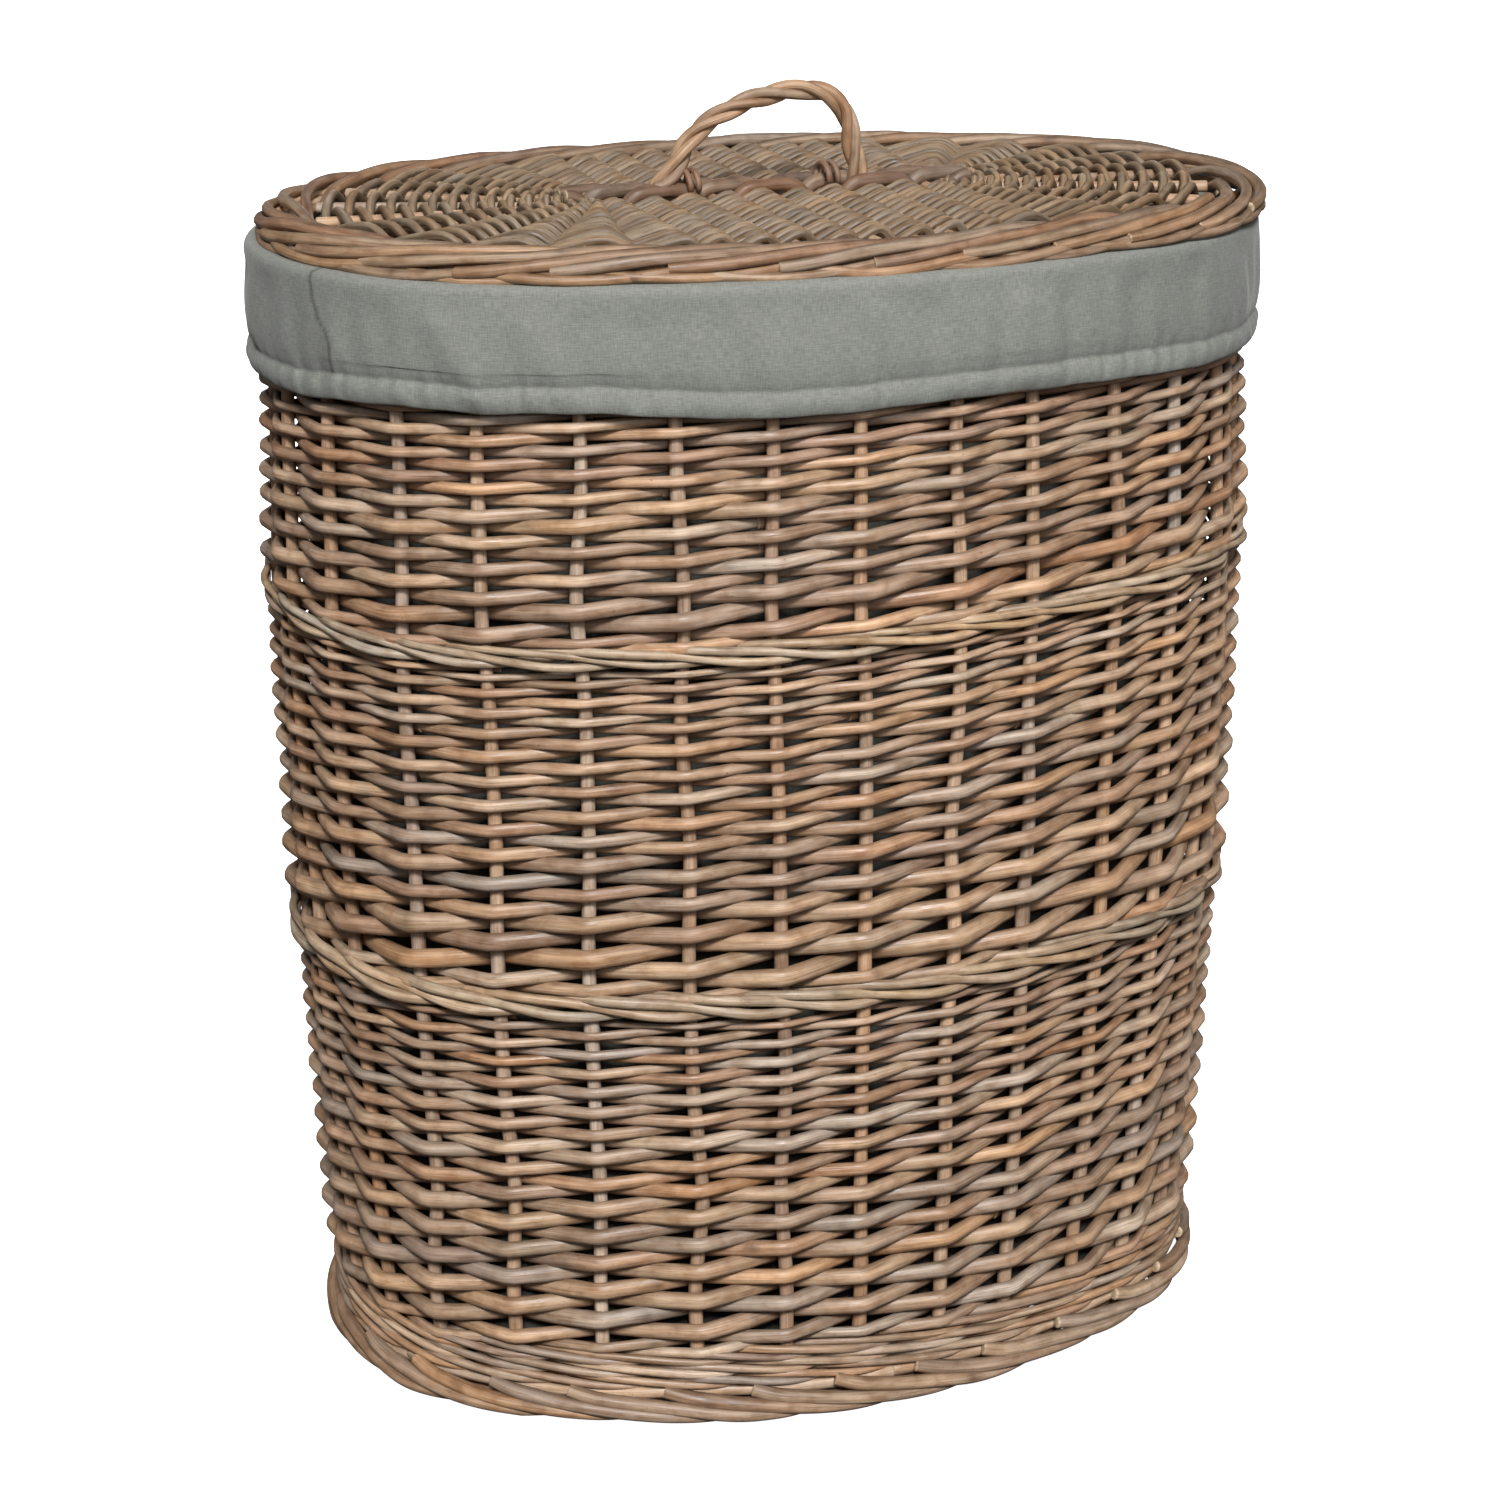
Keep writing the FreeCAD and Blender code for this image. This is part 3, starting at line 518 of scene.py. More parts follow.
def siding(name, lev4, lo_fn, hi_fn, lo4, hi4, palette, seed):
    """Randing with twelve rods climbing together, each over one stake and behind the next, pieced on behind a stake."""
    rng = np.random.default_rng(seed)
    K = len(lev4)
    F = (lev4 - lo4) / (hi4 - lo4)
    lv = np.arange(K)

    def f_of(level):
        f = np.interp(level, lv, F)
        f = np.where(level < 0, F[0] + (F[1] - F[0]) * 0.55 * level, f)
        return np.where(level > K - 1, F[-1] + (F[-1] - F[-2]) * 0.55 * (level - K + 1), f)

    rods = Rods()
    for k in range(STARTS):
        s0 = (-0.78 - 0.5 * k) / CLIMB - 4.0
        s1 = (K - 0.30 - 0.5 * k) / CLIMB - 4.0

        def behind(x):
            """Nearest stake that this rod passes behind."""
            r = round(x)
            if (r + k) % 2 == 0:
                r += 1 if x > r else -1
            return r

        cuts = [behind(s0)]
        end = behind(s1)
        first = rng.uniform(8, 30)
        while end - cuts[-1] > 36:
            cuts.append(behind(cuts[-1] + first))
            first = rng.uniform(22, 32)
        cuts.append(end)
        for a, b in zip(cuts[:-1], cuts[1:]):
            n = int((b - a + 0.3) * 12) + 1
            s = np.linspace(a - 0.16, b + 0.16, n)[None]
            level = CLIMB * (s + 4.0) + 0.5 * k
            lo, hi = lo_fn(s), hi_fn(s)
            z = lo + (hi - lo) * f_of(level)
            inner = np.clip(level, 0.1, K - 1.1)
            pitch = (hi - lo) * (f_of(inner + 0.5) - f_of(inner - 0.5))
            thin = np.clip(np.minimum(level + 0.9, K - 0.1 - level) / 0.9, 0.72, 1)
            rr = pitch * 0.5 * 1.04 / 2 * thin * (1 + rng.normal(0, 0.06))
            taper = 1.05 - 0.10 * (s - a) / (b - a)
            rr = np.clip(rr * taper, 1.5, 4.9)
            phi = math.pi * (s + k)
            A = 0.87 * (ST_R + 0.92 * rr)
            rho = wall_r(z) - ST_IN + A * tri(phi)
            z = z + 0.3 * np.cos(phi) + 0.020 * pitch * rng.normal() + 0.30 * smooth_noise(1, s, 2.2, rng) * np.clip(pitch / 10, 0.5, 1.4)
            # painted shade: the stretches of each rod that pass behind the stakes are darkened, and so are its faces
            # against the rods above and below
            rods.add(oval(warp(s, z), rho, z), rr, palette=palette, sides=10, flat=0.8, seed=int(rng.integers(1 << 30)), lump=0.03, crevice=("v", 0.50), shade=0.74 + 0.40 * np.clip((tri(phi) + 0.9) / 1.6, 0, 1))
    return rods


def waling(rods, zc, d, palette, seed, rounds=1, dz=0.0, over=3, lift=0.95):
    """Wale: each rod passes in front of `over` stakes and behind one, lying down from top to bottom as it goes."""
    rng = np.random.default_rng(seed)
    per = over + 1
    for k in range(rounds):
        for j in range(per):
            n = N_ST * 12
            s = np.linspace(0, N_ST + 2.0, n)[None] + j + k * 5.0 + 12.1
            c = TAU * (s - j - (over - 1) / 2 + k) / per
            if over == 3:
                g = 0.5125 + 1.175 * np.cos(c) - 0.4875 * np.cos(2 * c) - 0.15 * np.cos(3 * c)
            else:
                g = 0.3333 + 1.06 * np.cos(c) - 0.273 * np.cos(2 * c)
            zz = zc(s) + k * dz - np.sin(c) * d * lift + 0.35 * smooth_noise(1, s, 2.5, rng) + 0.5 * np.cos(c)
            rr = np.full(s.shape, d / 2) * (1 + 0.10 * smooth_noise(1, s, 5.0, rng))
            tip = np.clip(np.minimum(s - s.min(), s.max() - s) / 0.9, 0.45, 1)
            rr = rr * tip
            rho = wall_r(zz) - ST_IN + (0.92 * ST_R + 0.85 * rr) * g
            rods.add(oval(warp(s, zz), rho, zz), rr, palette=palette, sides=10, flat=0.9, seed=seed * 31 + 7 * j + k, crevice=("v", 0.34))


pieces = {}
UPSET_TOP = 39.0

lower = siding("lower", LOW4, lambda s: UPSET_TOP + 0 * s, lambda s: wale2(s) - 4.4, 39.0, 219.0, PALETTE, 11)
pieces["lower_siding_rods"] = (lower.mesh("lower_siding_rods", M_WILLOW), "basket", ["lower_siding"], "willow")
middle = siding("middle", MID4, lambda s: wale2(s) + 5.4, lambda s: wale1(s) - 1.6, 233.0, 392.6, PALETTE, 23)
pieces["middle_siding_rods"] = (middle.mesh("middle_siding_rods", M_WILLOW), "basket", ["middle_siding"], "willow")
upper = siding("upper", UP4, lambda s: wale1(s) + 4.4, lambda s: 549.0 + 0 * s, 405.5, 549.0, WARM, 37)
pieces["upper_siding_rods"] = (upper.mesh("upper_siding_rods", M_WILLOW), "basket", ["upper_siding"], "willow")

w = Rods()
waling(w, lambda s: wale1(s) + 0.0, 4.1, THIN, 41, lift=0.9)
pieces["upper_wale_rods"] = (w.mesh("upper_wale_rods", M_WILLOW), "basket", ["upper_wale"], "willow")
w = Rods()
waling(w, lambda s: wale2(s) + 0.0, 4.9, THIN, 53, lift=0.9)
pieces["lower_wale_rods"] = (w.mesh("lower_wale_rods", M_WILLOW), "basket", ["lower_wale"], "willow")
w = Rods()
waling(w, lambda s: 21.8 + 0 * s, 4.1, PALETTE, 67, rounds=3, dz=6.6, over=2, lift=0.6)
pieces["upset_wale_rods"] = (w.mesh("upset_wale_rods", M_WILLOW), "basket", ["upset_wale"], "willow")

# stakes: stout uprights, slightly crooked
rng = np.random.default_rng(71)
zz = np.linspace(5.5, 557, 150)[None].repeat(N_ST, 0)
ss = np.arange(N_ST)[:, None] + 0.035 * smooth_noise(N_ST, zz, 60.0, rng)
rho = wall_r(zz) - ST_IN + 0.3 * smooth_noise(N_ST, zz, 40.0, rng)
st = Rods()
st.add(oval(warp(ss, zz), rho, zz), 3.55 * (1 - 0.12 * (zz / 557)), palette=PALETTE, ref=normal_of(ss, zz), sides=12, seed=72, lump=0.02)
pieces["stake_rods"] = (st.mesh("stake_rods", M_STAKE), "basket", ["side_stakes"], "willow_stake")


# foot border: butt ends beside the stakes, running down and under to the right
def path_rods(keys, starts, n, zs=None, jit=0.0, seed=0, hh=None, rscale=1.0):
    """keys: (ds, r_inset_from_r0, z, radius). Cubic through the keys for each start, along the oval."""
    keys = np.asarray(keys, float)
    t = keys[:, 0]
    u = np.linspace(t[0], t[-1], n)
    rng = np.random.default_rng(seed)

    def cub(v):
        m = np.gradient(v, t)
        i = np.clip(np.searchsorted(t, u, "right") - 1, 0, len(t) - 2)
        h = t[i + 1] - t[i]
        f = (u - t[i]) / h
        return (2 * f**3 - 3 * f**2 + 1) * v[i] + (f**3 - 2 * f**2 + f) * h * m[i] + (-2 * f**3 + 3 * f**2) * v[i + 1] + (f**3 - f**2) * h * m[i + 1]

    R = len(starts)
    r, z, rad = cub(keys[:, 1]), cub(keys[:, 2]), cub(keys[:, 3])
    s = np.asarray(starts)[:, None] + u[None]
    sm1, sm2 = smooth_noise(R, s - s[:, :1], 0.9, rng), smooth_noise(R, s - s[:, :1], 0.9, rng)
    return s, r[None] + jit * sm1, z[None] + jit * sm2, np.broadcast_to(rad, (R, n)) * (1 + rng.normal(0, 0.05, (R, 1))) * rscale


rng = np.random.default_rng(81)
starts = np.arange(N_ST) - 0.36 + rng.normal(0, 0.035, N_ST)
keys = [
    (0.0, -3.0, 17.4, 3.5), (0.22, -1.4, 15.0, 3.6), (0.6, -0.4, 12.4, 3.65), (1.05, 0.3, 9.8, 3.6),
    (1.5, 0.6, 7.4, 3.5), (2.0, 0.2, 5.3, 3.2), (2.45, -2.2, 4.2, 2.9), (2.85, -6.5, 3.7, 2.3),
]
s, r, z, rad = path_rods(keys, starts, 40, jit=0.45, seed=82)
ft = Rods()
ft.add(oval(warp(s, z), 134.0 + r, z), rad, palette=PALETTE, tone=(0.92, 0.91, 0.90), sides=10, seed=83, crevice=("v", 0.45))
# the same rods' inner ends, lying inside the foot ring
keys = [(0.0, -9.5, 4.3, 3.0), (0.6, -14.0, 5.6, 3.2), (1.4, -17.5, 8.0, 3.3), (2.2, -16.5, 9.5, 3.0)]
s, r, z, rad = path_rods(keys, starts + 2.3, 26, jit=0.4, seed=84)
ft.add(oval(warp(s, z), 134.0 + r, z), rad, palette=PALETTE, sides=9, seed=85)
for r0, z0, q0 in ((-13.5, 7.0, 3.3), (-14.5, 14.5, 3.3), (-21.0, 10.5, 3.2), (-13.0, 20.6, 2.9), (-7.6, 15.0, 3.5)):
    s = np.linspace(0, 30.4, 300)[None]
    ft.add(oval(s, 134.0 + r0 + 0.5 * np.sin(s * 1.7), z0 + 0.5 * np.sin(s * 2.3)), np.full(s.shape, q0), palette=PALETTE, sides=8, seed=int(860 + z0 * 10))
pieces["foot_border_rods"] = (ft.mesh("foot_border_rods", M_WILLOW), "basket", ["foot_border"], "willow")

# top border under the cuff: plaited rods turned down
rng = np.random.default_rng(91)
starts = np.arange(N_ST) + 0.1
keys = [
    (0.0, -17.5, 551.5, 3.0), (0.5, -12.0, 553.0, 3.2), (1.1, -6.0, 556.0, 3.2), (1.8, -5.0, 560.0, 3.2),
    (2.5, -10.0, 562.0, 3.1), (3.1, -15.5, 559.0, 3.0), (3.6, -17.5, 554.5, 2.8),
]
s, r, z, rad = path_rods(keys, starts, 44, jit=0.3, seed=92)
tb = Rods()
tb.add(oval(warp(s, z), 145.4 + r, z), rad, palette=WARM, sides=9, seed=93)
pieces["top_border_rods"] = (tb.mesh("top_border_rods", M_WILLOW), "basket", ["top_border"], "willow")


# ---------------------------------------------------------------- woven ovals (lid and base)
def stadium(q_pts, k_in, k_out):
    return q_pts


def periodic(v, x):
    """Periodic cubic (Catmull-Rom) through v (J,...) at x in units of points."""
    J = v.shape[0]
    i = np.floor(x).astype(int)
    f = (x - i)[..., None]
    p0, p1, p2, p3 = v[(i - 1) % J], v[i % J], v[(i + 1) % J], v[(i + 2) % J]
    return 0.5 * ((2 * p1) + (-p0 + p2) * f + (2 * p0 - 5 * p1 + 4 * p2 - p3) * f**2 + (-p0 + 3 * p1 - 3 * p2 + p3) * f**3)


def oval_y(x, r, h):
    """Half width of the oval of end radius r and rise h at x."""
    d = (1e4 - h * h) / (2 * h)
    k = math.hypot(100, d) + r
    t = math.atan2(d, 100)
    xt = k * math.cos(t)
    x = abs(x)
    if x <= xt:
        return -d + math.sqrt(k * k - x * x)
    return math.sqrt(max(0.0, r * r - (x - 100) ** 2))


def ray_to_oval(px, py, a, r, h):
    """Distance from (px,py) along angle a to the oval."""
    lo, hi = 0.0, 400.0
    for _ in range(50):
        m = (lo + hi) / 2
        x, y = px + math.cos(a) * m, py + math.sin(a) * m
        inside = abs(x) < 100 + r and abs(y) < oval_y(x, r, h)
        lo, hi = (m, hi) if inside else (lo, m)
    return lo


# rise and fall of a lid rod between the sticks it passes under (-1, 1) and over (0)
LEAN_X = np.array([-1, -0.75, -0.5, -0.25, 0, 0.12, 0.25, 0.35, 0.5, 0.65, 0.8, 1])
LEAN_Y = np.array([-1.0, -0.72, -0.22, 0.36, 0.86, 1.03, 1.04, 0.80, 0.0, -0.78, -1.06, -1.0])


def woven_oval(crossings, rounds, zc, amp, rads, palette, seed, shift=(0, 0), per=9, skew=0.0):
    """crossings: (start x, start y, end x, end y) in order round the oval; rounds: shares 0..1 of the way out."""
    C = np.asarray(crossings, float)
    J = len(C)
    rods = Rods()
    rng = np.random.default_rng(seed)
    n = J * per
    x = np.arange(n) / per
    P, Rr = [], []
    for k, t in enumerate(rounds):
        xy = C[:, :2] + (C[:, 2:] - C[:, :2]) * t
        xy = xy + rng.normal(0, 0.22, xy.shape)
        c = periodic(xy, x)
        th = math.pi * (x + k)
        run = np.gradient(c[:, 0]) * per
        sgn = np.clip(run / 16.0, -1, 1) * skew
        w = (th / math.pi * np.where(sgn < 0, -1, 1) + 1) % 2 - 1
        saw = np.interp(w, LEAN_X, LEAN_Y)
        z = zc + amp[k] * ((1 - abs(sgn)) * np.cos(th) + abs(sgn) * saw) + 0.2 * smooth_noise(1, x[None], 3.0, rng)[0]
        c = np.concatenate([c + np.asarray(shift), z[:, None]], 1)
        # an open rod all the way round, ends lying side by side under a stick
        st = rng.integers(0, J)
        c = np.roll(c, -int(st * per + (per // 2 if k % 2 else 0)), 0)
        c = np.concatenate([c, c[: per // 2]], 0)
        P.append(c)
        rr = np.full(len(c), rads[k])
        m = per // 2
        rr[:m] *= np.linspace(0.7, 1, m)
        rr[-m:] *= np.linspace(1, 0.5, m)
        Rr.append(rr)
    rods.add(np.array(P), np.array(Rr), palette=palette, sides=8, seed=seed + 1, cut_start=True, cut_end=True, crevice=("h", 0.62))
    return rods


# lid: twelve cross sticks, fans at both ends
LID_DX = 4.0
H_LID = 18.0
cross_x = [(i - 5.5) * 18.2 for i in range(12)]
lid_x = []
for X in cross_x[1:-1]:
    lid_x.append((X, 8.0, X, oval_y(X, 121.5, H_LID)))
FAN = [72, 54, 36, 18, 0, -18, -36, -54, -72]


def fan(side, a, inner, r, h, ox):
    """One crossing of a fan stick; side is +1 right, -1 left."""
    a = math.radians(a)
    ca, sa = math.cos(a) * side, math.sin(a)
    d = ray_to_oval(side * ox, 0.0, math.atan2(sa, ca), r, h)
    return (side * ox + ca * inner, sa * inner, side * ox + ca * d, sa * d)


right = [fan(1, a, 8.5, 121.5, H_LID, 84.0) for a in FAN]
left = [fan(-1, -a, 8.5, 121.5, H_LID, 84.0) for a in FAN]
top_pts = [(X, 8.0, X, oval_y(X, 121.5, H_LID)) for X in cross_x[1:-1]]
bot_pts = [(X, -8.0, X, -oval_y(X, 121.5, H_LID)) for X in cross_x[1:-1]][::-1]
crossings = top_pts + right + bot_pts + left
# widths: pitch grows from 4.2 near the spine to 5.4 at the border
gaps = np.linspace(4.2, 5.35, 27)
out = np.concatenate([[0], np.cumsum(gaps)])
total = 121.5 + 18 - 8.0
ts = out / total
ts = ts[ts < 0.985][: len(gaps)]
rads = gaps[: len(ts)] * 0.5 * 0.86
lw = woven_oval(crossings, ts, 576.4, 2.5 + rads * 0.92, rads, LIDC, 101, shift=(LID_DX, 0), per=12, skew=1.0)
# spine rods, worked over and under the cross sticks
sp_x = np.linspace(-101, 101, 240)
spine = Rods()
# the spine tones are partly the rods' own grey-mauve and red-brown colour and partly painted shade, darkened to offset
# the strong light on the lid's top
for y0, ph, rr, tone, z_amp in ((4.6, 0, 3.7, (0.40, 0.41, 0.45), 4.7), (-3.4, 1, 3.5, (0.42, 0.38, 0.37), 4.7), (12.0, 2, 3.1, (0.43, 0.41, 0.41), 4.5)):
    c = 2 * math.pi * (sp_x - cross_x[0] - 18.2 * ph) / 54.6 + math.pi
    z = 578.0 + z_amp * np.tanh(2 * (np.cos(c) + 0.35))
    y = y0 + 0.5 * np.sin(sp_x / 31.0 + y0) + 1.3 * np.sin(c)
    spine.add(np.stack([sp_x + LID_DX, y, z], 1), np.full(len(sp_x), rr), palette=WARM, tone=tone, sides=10, seed=int(120 + y0))
lw_obj = lw.mesh("lid_weave_rods", M_LID)
pieces["lid_weave_rods"] = (lw_obj, "lid", ["lid_weave"], "willow_lid")
pieces["lid_spine_rods"] = (spine.mesh("lid_spine_rods", M_LID), "lid", ["lid_long_sticks"], "willow_spine")
sk = Rods()
for X in cross_x[1:-1]:
    yy = np.linspace(-oval_y(X, 119, H_LID), oval_y(X, 119, H_LID), 60)
    sk.add(np.stack([X + LID_DX + 0 * yy, yy, 576.4 + 0 * yy], 1), np.full(60, 2.75), ref=(0, 0, 1), sides=9, seed=int(300 + X))
for side, ang in ((1, right), (-1, left)):
    for (x0, y0, x1, y1) in ang:
        t = np.linspace(-0.02 if abs(y1) > 1 else -0.02, 0.985, 40)
        sk.add(np.stack([x0 + (x1 - x0) * t + LID_DX, y0 + (y1 - y0) * t, 576.4 + 0 * t], 1), np.linspace(2.2, 2.75, 40), sides=9, seed=int(500 + y1 + side))
pieces["lid_stick_rods"] = (sk.mesh("lid_stick_rods", M_LID), "lid", ["lid_cross_sticks"], "willow_lid")

# lid border: rods laid down behind one another, cut ends along the outer face
H0 = 18.0


def lid_oval(q, rho, z):
    p = oval(q, rho, z, h=H0)
    p[..., 0] += LID_DX + 0.3
    return p


starts = np.array([-6.4, -5.43, -4.33, -3.38, -2.19, -1.06, -0.06, 0.92, 2.01, 2.96, 4.03, 5.24])
starts = np.concatenate([starts, np.linspace(5.24, 23.6, 18)[1:-1] + rng.normal(0, 0.05, 16)])
keys = [
    (0.0, -4.2, 574.0, 2.7), (0.35, -3.8, 575.0, 2.85), (0.9, -4.8, 577.2, 2.85), (1.5, -8.2, 579.4, 2.8),
    (2.1, -13.6, 579.9, 2.9), (2.7, -19.8, 580.1, 2.85), (3.3, -24.6, 578.0, 2.7), (3.7, -26.8, 573.8, 2.4),
]
s, r, z, rad = path_rods(keys, starts, 58, jit=0.6, seed=131)
lb = Rods()
# the border's tone on both layers is painted shade, darkening the same willow to offset the strong light on the lid
lb.add(lid_oval(s, 148.9 + r, z), rad, palette=WARM, tone=(0.78, 0.765, 0.74), sides=10, seed=132, crevice=("v", 0.58))
keys = [
    (0.0, -25.0, 572.8, 2.4), (0.5, -18.5, 572.2, 2.6), (0.9, -10.5, 572.4, 2.6), (1.35, -4.6, 571.6, 2.6),
    (1.85, -3.4, 570.1, 2.6), (2.4, -3.6, 570.4, 2.6), (2.9, -4.6, 572.6, 2.45), (3.4, -9.5, 575.0, 2.2),
]
s, r, z, rad = path_rods(keys, starts + 0.25, 58, jit=0.5, seed=133)
lb.add(lid_oval(s, 148.9 + r, z), rad, palette=WARM, tone=(0.78, 0.765, 0.74), sides=10, seed=134, crevice=("v", 0.58))
# core rods inside the roll
for r0, z0 in ((-11.0, 574.4), (-19.0, 573.8)):
    s = np.linspace(0, 30.4, 360)[None]
    lb.add(lid_oval(s, 148.9 + r0 + 0 * s, z0 + 0.4 * np.sin(s * 2.1)), np.full(s.shape, 2.4), palette=WARM, sides=8, seed=int(140 + z0 * 10))
pieces["lid_border_rods"] = (lb.mesh("lid_border_rods", M_LID), "lid", ["lid_border"], "willow_lid")


# ---------------------------------------------------------------- handle
ARCH = np.array([
    (-52.0, 583.5), (-46.5, 588.0), (-42.0, 594.5), (-36.5, 604.0), (-29.0, 611.5), (-20, 617.0), (-6, 622.6), (11, 626.2), (23, 627.0), (34, 624.0),
    (42, 617.2), (45.5, 608), (47.2, 599), (49.3, 589), (50.2, 578.0),
])


def spline(pts, n):
    pts = np.asarray(pts, float)
    seg = np.linalg.norm(np.diff(pts, axis=0), axis=1)
    t = np.concatenate([[0], np.cumsum(seg)])
    u = np.linspace(0, t[-1], n)
    out = []
    for c in range(pts.shape[1]):
        v = pts[:, c]
        m = np.gradient(v, t)
        i = np.clip(np.searchsorted(t, u, "right") - 1, 0, len(t) - 2)
        h = t[i + 1] - t[i]
        f = (u - t[i]) / h
        out.append((2 * f**3 - 3 * f**2 + 1) * v[i] + (f**3 - 2 * f**2 + f) * h * m[i] + (-2 * f**3 + 3 * f**2) * v[i + 1] + (f**3 - f**2) * h * m[i + 1])
    return np.stack(out, 1), u


line, ul = spline(np.stack([ARCH[:, 0], 0 * ARCH[:, 0], ARCH[:, 1]], 1), 240)
T = np.gradient(line, axis=0)
T /= np.linalg.norm(T, axis=1, keepdims=True)
Y = np.array([0, 1.0, 0])[None].repeat(240, 0)
Nn = np.cross(T, Y)
names = [("handle_strand_front_rod", "handle_strand_front"), ("handle_strand_back_rod", "handle_strand_back"), ("handle_strand_top_rod", "handle_strand_top")]
for j, (nm, cad) in enumerate(names):
    th = TAU * (ul / 56.0 + j / 3.0) + 0.6
    rr = 2.5
    off = 2.7 * (1 + 0.05 * np.sin(ul / 11.0 + j))
    pth = line + (np.cos(th) * off)[:, None] * Y + (np.sin(th) * off)[:, None] * Nn
    hs = Rods()
    # the handle's tone is partly the twisted rods' own browner colour and partly painted shade, darkened to offset the
    # strong light from above
    hs.add(pth, np.full(240, rr) * (1 + 0.04 * np.sin(ul / 23.0 + 2 * j)), palette=WARM, tone=(0.84, 0.76, 0.66), ref=Nn[None], sides=12, seed=200 + j, cut_start=False, cut_end=False)
    pieces[nm] = (hs.mesh(nm, M_HANDLE), "lid", [cad], "willow_handle")


# ---------------------------------------------------------------- cloth
def sheet_mesh(name, V, closed_u, mat, cloth, tint, thick=None, outward=True):
    """V (rows, cols, 3) mm; closed in columns when closed_u. cloth (rows, cols, 3) mm lengths; tint (rows, cols) shade."""
    rws, cls = V.shape[:2]
    cc = cls + 1 if closed_u else cls
    if closed_u:
        V = np.concatenate([V, V[:, :1]], 1)
        tint = np.concatenate([tint, tint[:, :1]], 1)
    idx = np.arange(rws * cls).reshape(rws, cls)
    if closed_u:
        idx = np.concatenate([idx, idx[:, :1]], 1)
    a, b, c, d = idx[:-1, :-1], idx[:-1, 1:], idx[1:, 1:], idx[1:, :-1]
    f = np.stack([a, b, c, d] if outward else [d, c, b, a], -1).reshape(-1, 4)
    me = bpy.data.meshes.new(name)
    v = V[:, :cls].reshape(-1, 3) * 0.001
    me.vertices.add(len(v))
    me.vertices.foreach_set("co", v.astype(np.float32).ravel())
    me.loops.add(f.size)
    me.loops.foreach_set("vertex_index", f.astype(np.int32).ravel())
    me.polygons.add(len(f))
    me.polygons.foreach_set("loop_start", (np.arange(len(f)) * 4).astype(np.int32))
    me.polygons.foreach_set("loop_total", np.full(len(f), 4, np.int32))
    me.polygons.foreach_set("use_smooth", np.ones(len(f), bool))
    me.update(calc_edges=True)
    at = me.attributes.new("cloth", "FLOAT_VECTOR", "CORNER")
    cl = np.zeros((len(f), 4, 3))
    rr_, cc_ = np.meshgrid(np.arange(rws - 1), np.arange(cc - 1), indexing="ij")
    order = [(0, 0), (0, 1), (1, 1), (1, 0)] if outward else [(1, 0), (1, 1), (0, 1), (0, 0)]
    for k, (dr, dc) in enumerate(order):
        cl[:, k] = cloth[(rr_ + dr).ravel(), (cc_ + dc).ravel()]
    at.data.foreach_set("vector", cl.astype(np.float32).ravel())
    ta = me.attributes.new("tint", "FLOAT_COLOR", "POINT")
    t4 = np.concatenate([np.repeat(tint[:, :cls].reshape(-1, 1), 3, 1), np.ones((rws * cls, 1))], 1)
    ta.data.foreach_set("color", t4.astype(np.float32).ravel())
    me.materials.append(mat)
    o = bpy.data.objects.new(name, me)
    bpy.context.scene.collection.objects.link(o)
    if thick:
        sm = o.modifiers.new("cloth_thickness", "SOLIDIFY")
        sm.thickness = thick * 0.001
        sm.offset = -1.0 if outward else 1.0
    return o


def fractal(u, v, seed, octaves):
    """Smooth periodic-in-u noise from random cosines. u in 0..1, v in mm."""
    rng = np.random.default_rng(seed)
    out = np.zeros(np.broadcast(u, v).shape)
    for fu_lo, fu_hi, kv, amp, n in octaves:
        for _ in range(n):
            k = rng.integers(fu_lo, fu_hi + 1)
            kk = rng.normal(0, kv)
            out = out + amp * np.cos(TAU * k * u + kk * v + rng.uniform(0, TAU)) / math.sqrt(n)
    return out


# cuff: over the rim and down outside, gathered in a stitched hem
NC = 1500
uq = np.arange(NC) / NC * N_ST
LOWX = [-15, -10, -6.21, -5.58, -4.85, -4.42, -4.02, -3.63, -2.82, -2.02, -1.21, -0.38, 0.48, 1.39, 2.39, 3.52, 4.16, 5.1, 10, 15]
LOWZ = [508.5, 510.0, 509.0, 511.2, 512.5, 512.3, 511.1, 512.0, 512.1, 509.8, 508.1, 508.3, 509.9, 510.6, 510.1, 508.5, 507.3, 507.0, 509.5, 508.5]
uu = np.where(uq > 15, uq - 30, uq)
z_low = np.interp(uu, LOWX, LOWZ) + 0.35 * np.sin(uq * TAU / 30 * 41) * 0.5
# rows from the hem's inside edge, round the fold, up, over the rim and a little way in
prof = [
    # (height share: z offset above the lower edge or absolute), radius
    ("h", 9.0, 146.3), ("h", 4.0, 146.6), ("h", 1.2, 147.2), ("h", 0.0, 148.2), ("h", 1.0, 149.2), ("h", 3.0, 150.0), ("h", 5.5, 150.45), ("h", 8.0, 150.3),
    ("h", 10.4, 149.5), ("h", 11.6, 148.75), ("h", 12.4, 148.55), ("h", 13.2, 148.75), ("h", 15.0, 149.4), ("h", 18.0, 149.9),
    ("a", 530.0, 150.3), ("a", 535.0, 150.4), ("a", 541.0, 150.2), ("a", 547.0, 149.8), ("a", 553.0, 149.4), ("a", 558.0, 149.1),
    ("a", 562.5, 149.0), ("a", 565.6, 148.6), ("a", 567.6, 147.2), ("a", 568.6, 144.6), ("a", 568.8, 141.0), ("a", 568.4, 135.0), ("a", 567.6, 129.6), ("a", 566.0, 126.4), ("a", 563.0, 124.6),
]
hw = 22.0
rows_r, rows_z, rows_w = [], [], []
fine = []
for (k0, a0, r0), (k1, a1, r1) in zip(prof, prof[1:]):
    for f in np.linspace(0, 1, 4)[:-1]:
        fine.append(((k0, a0, r0), (k1, a1, r1), f))
fine.append((prof[-1], prof[-1], 0.0))


def resolve(k, a, zl):
    return zl + a if k == "h" else np.full(zl.shape, a)


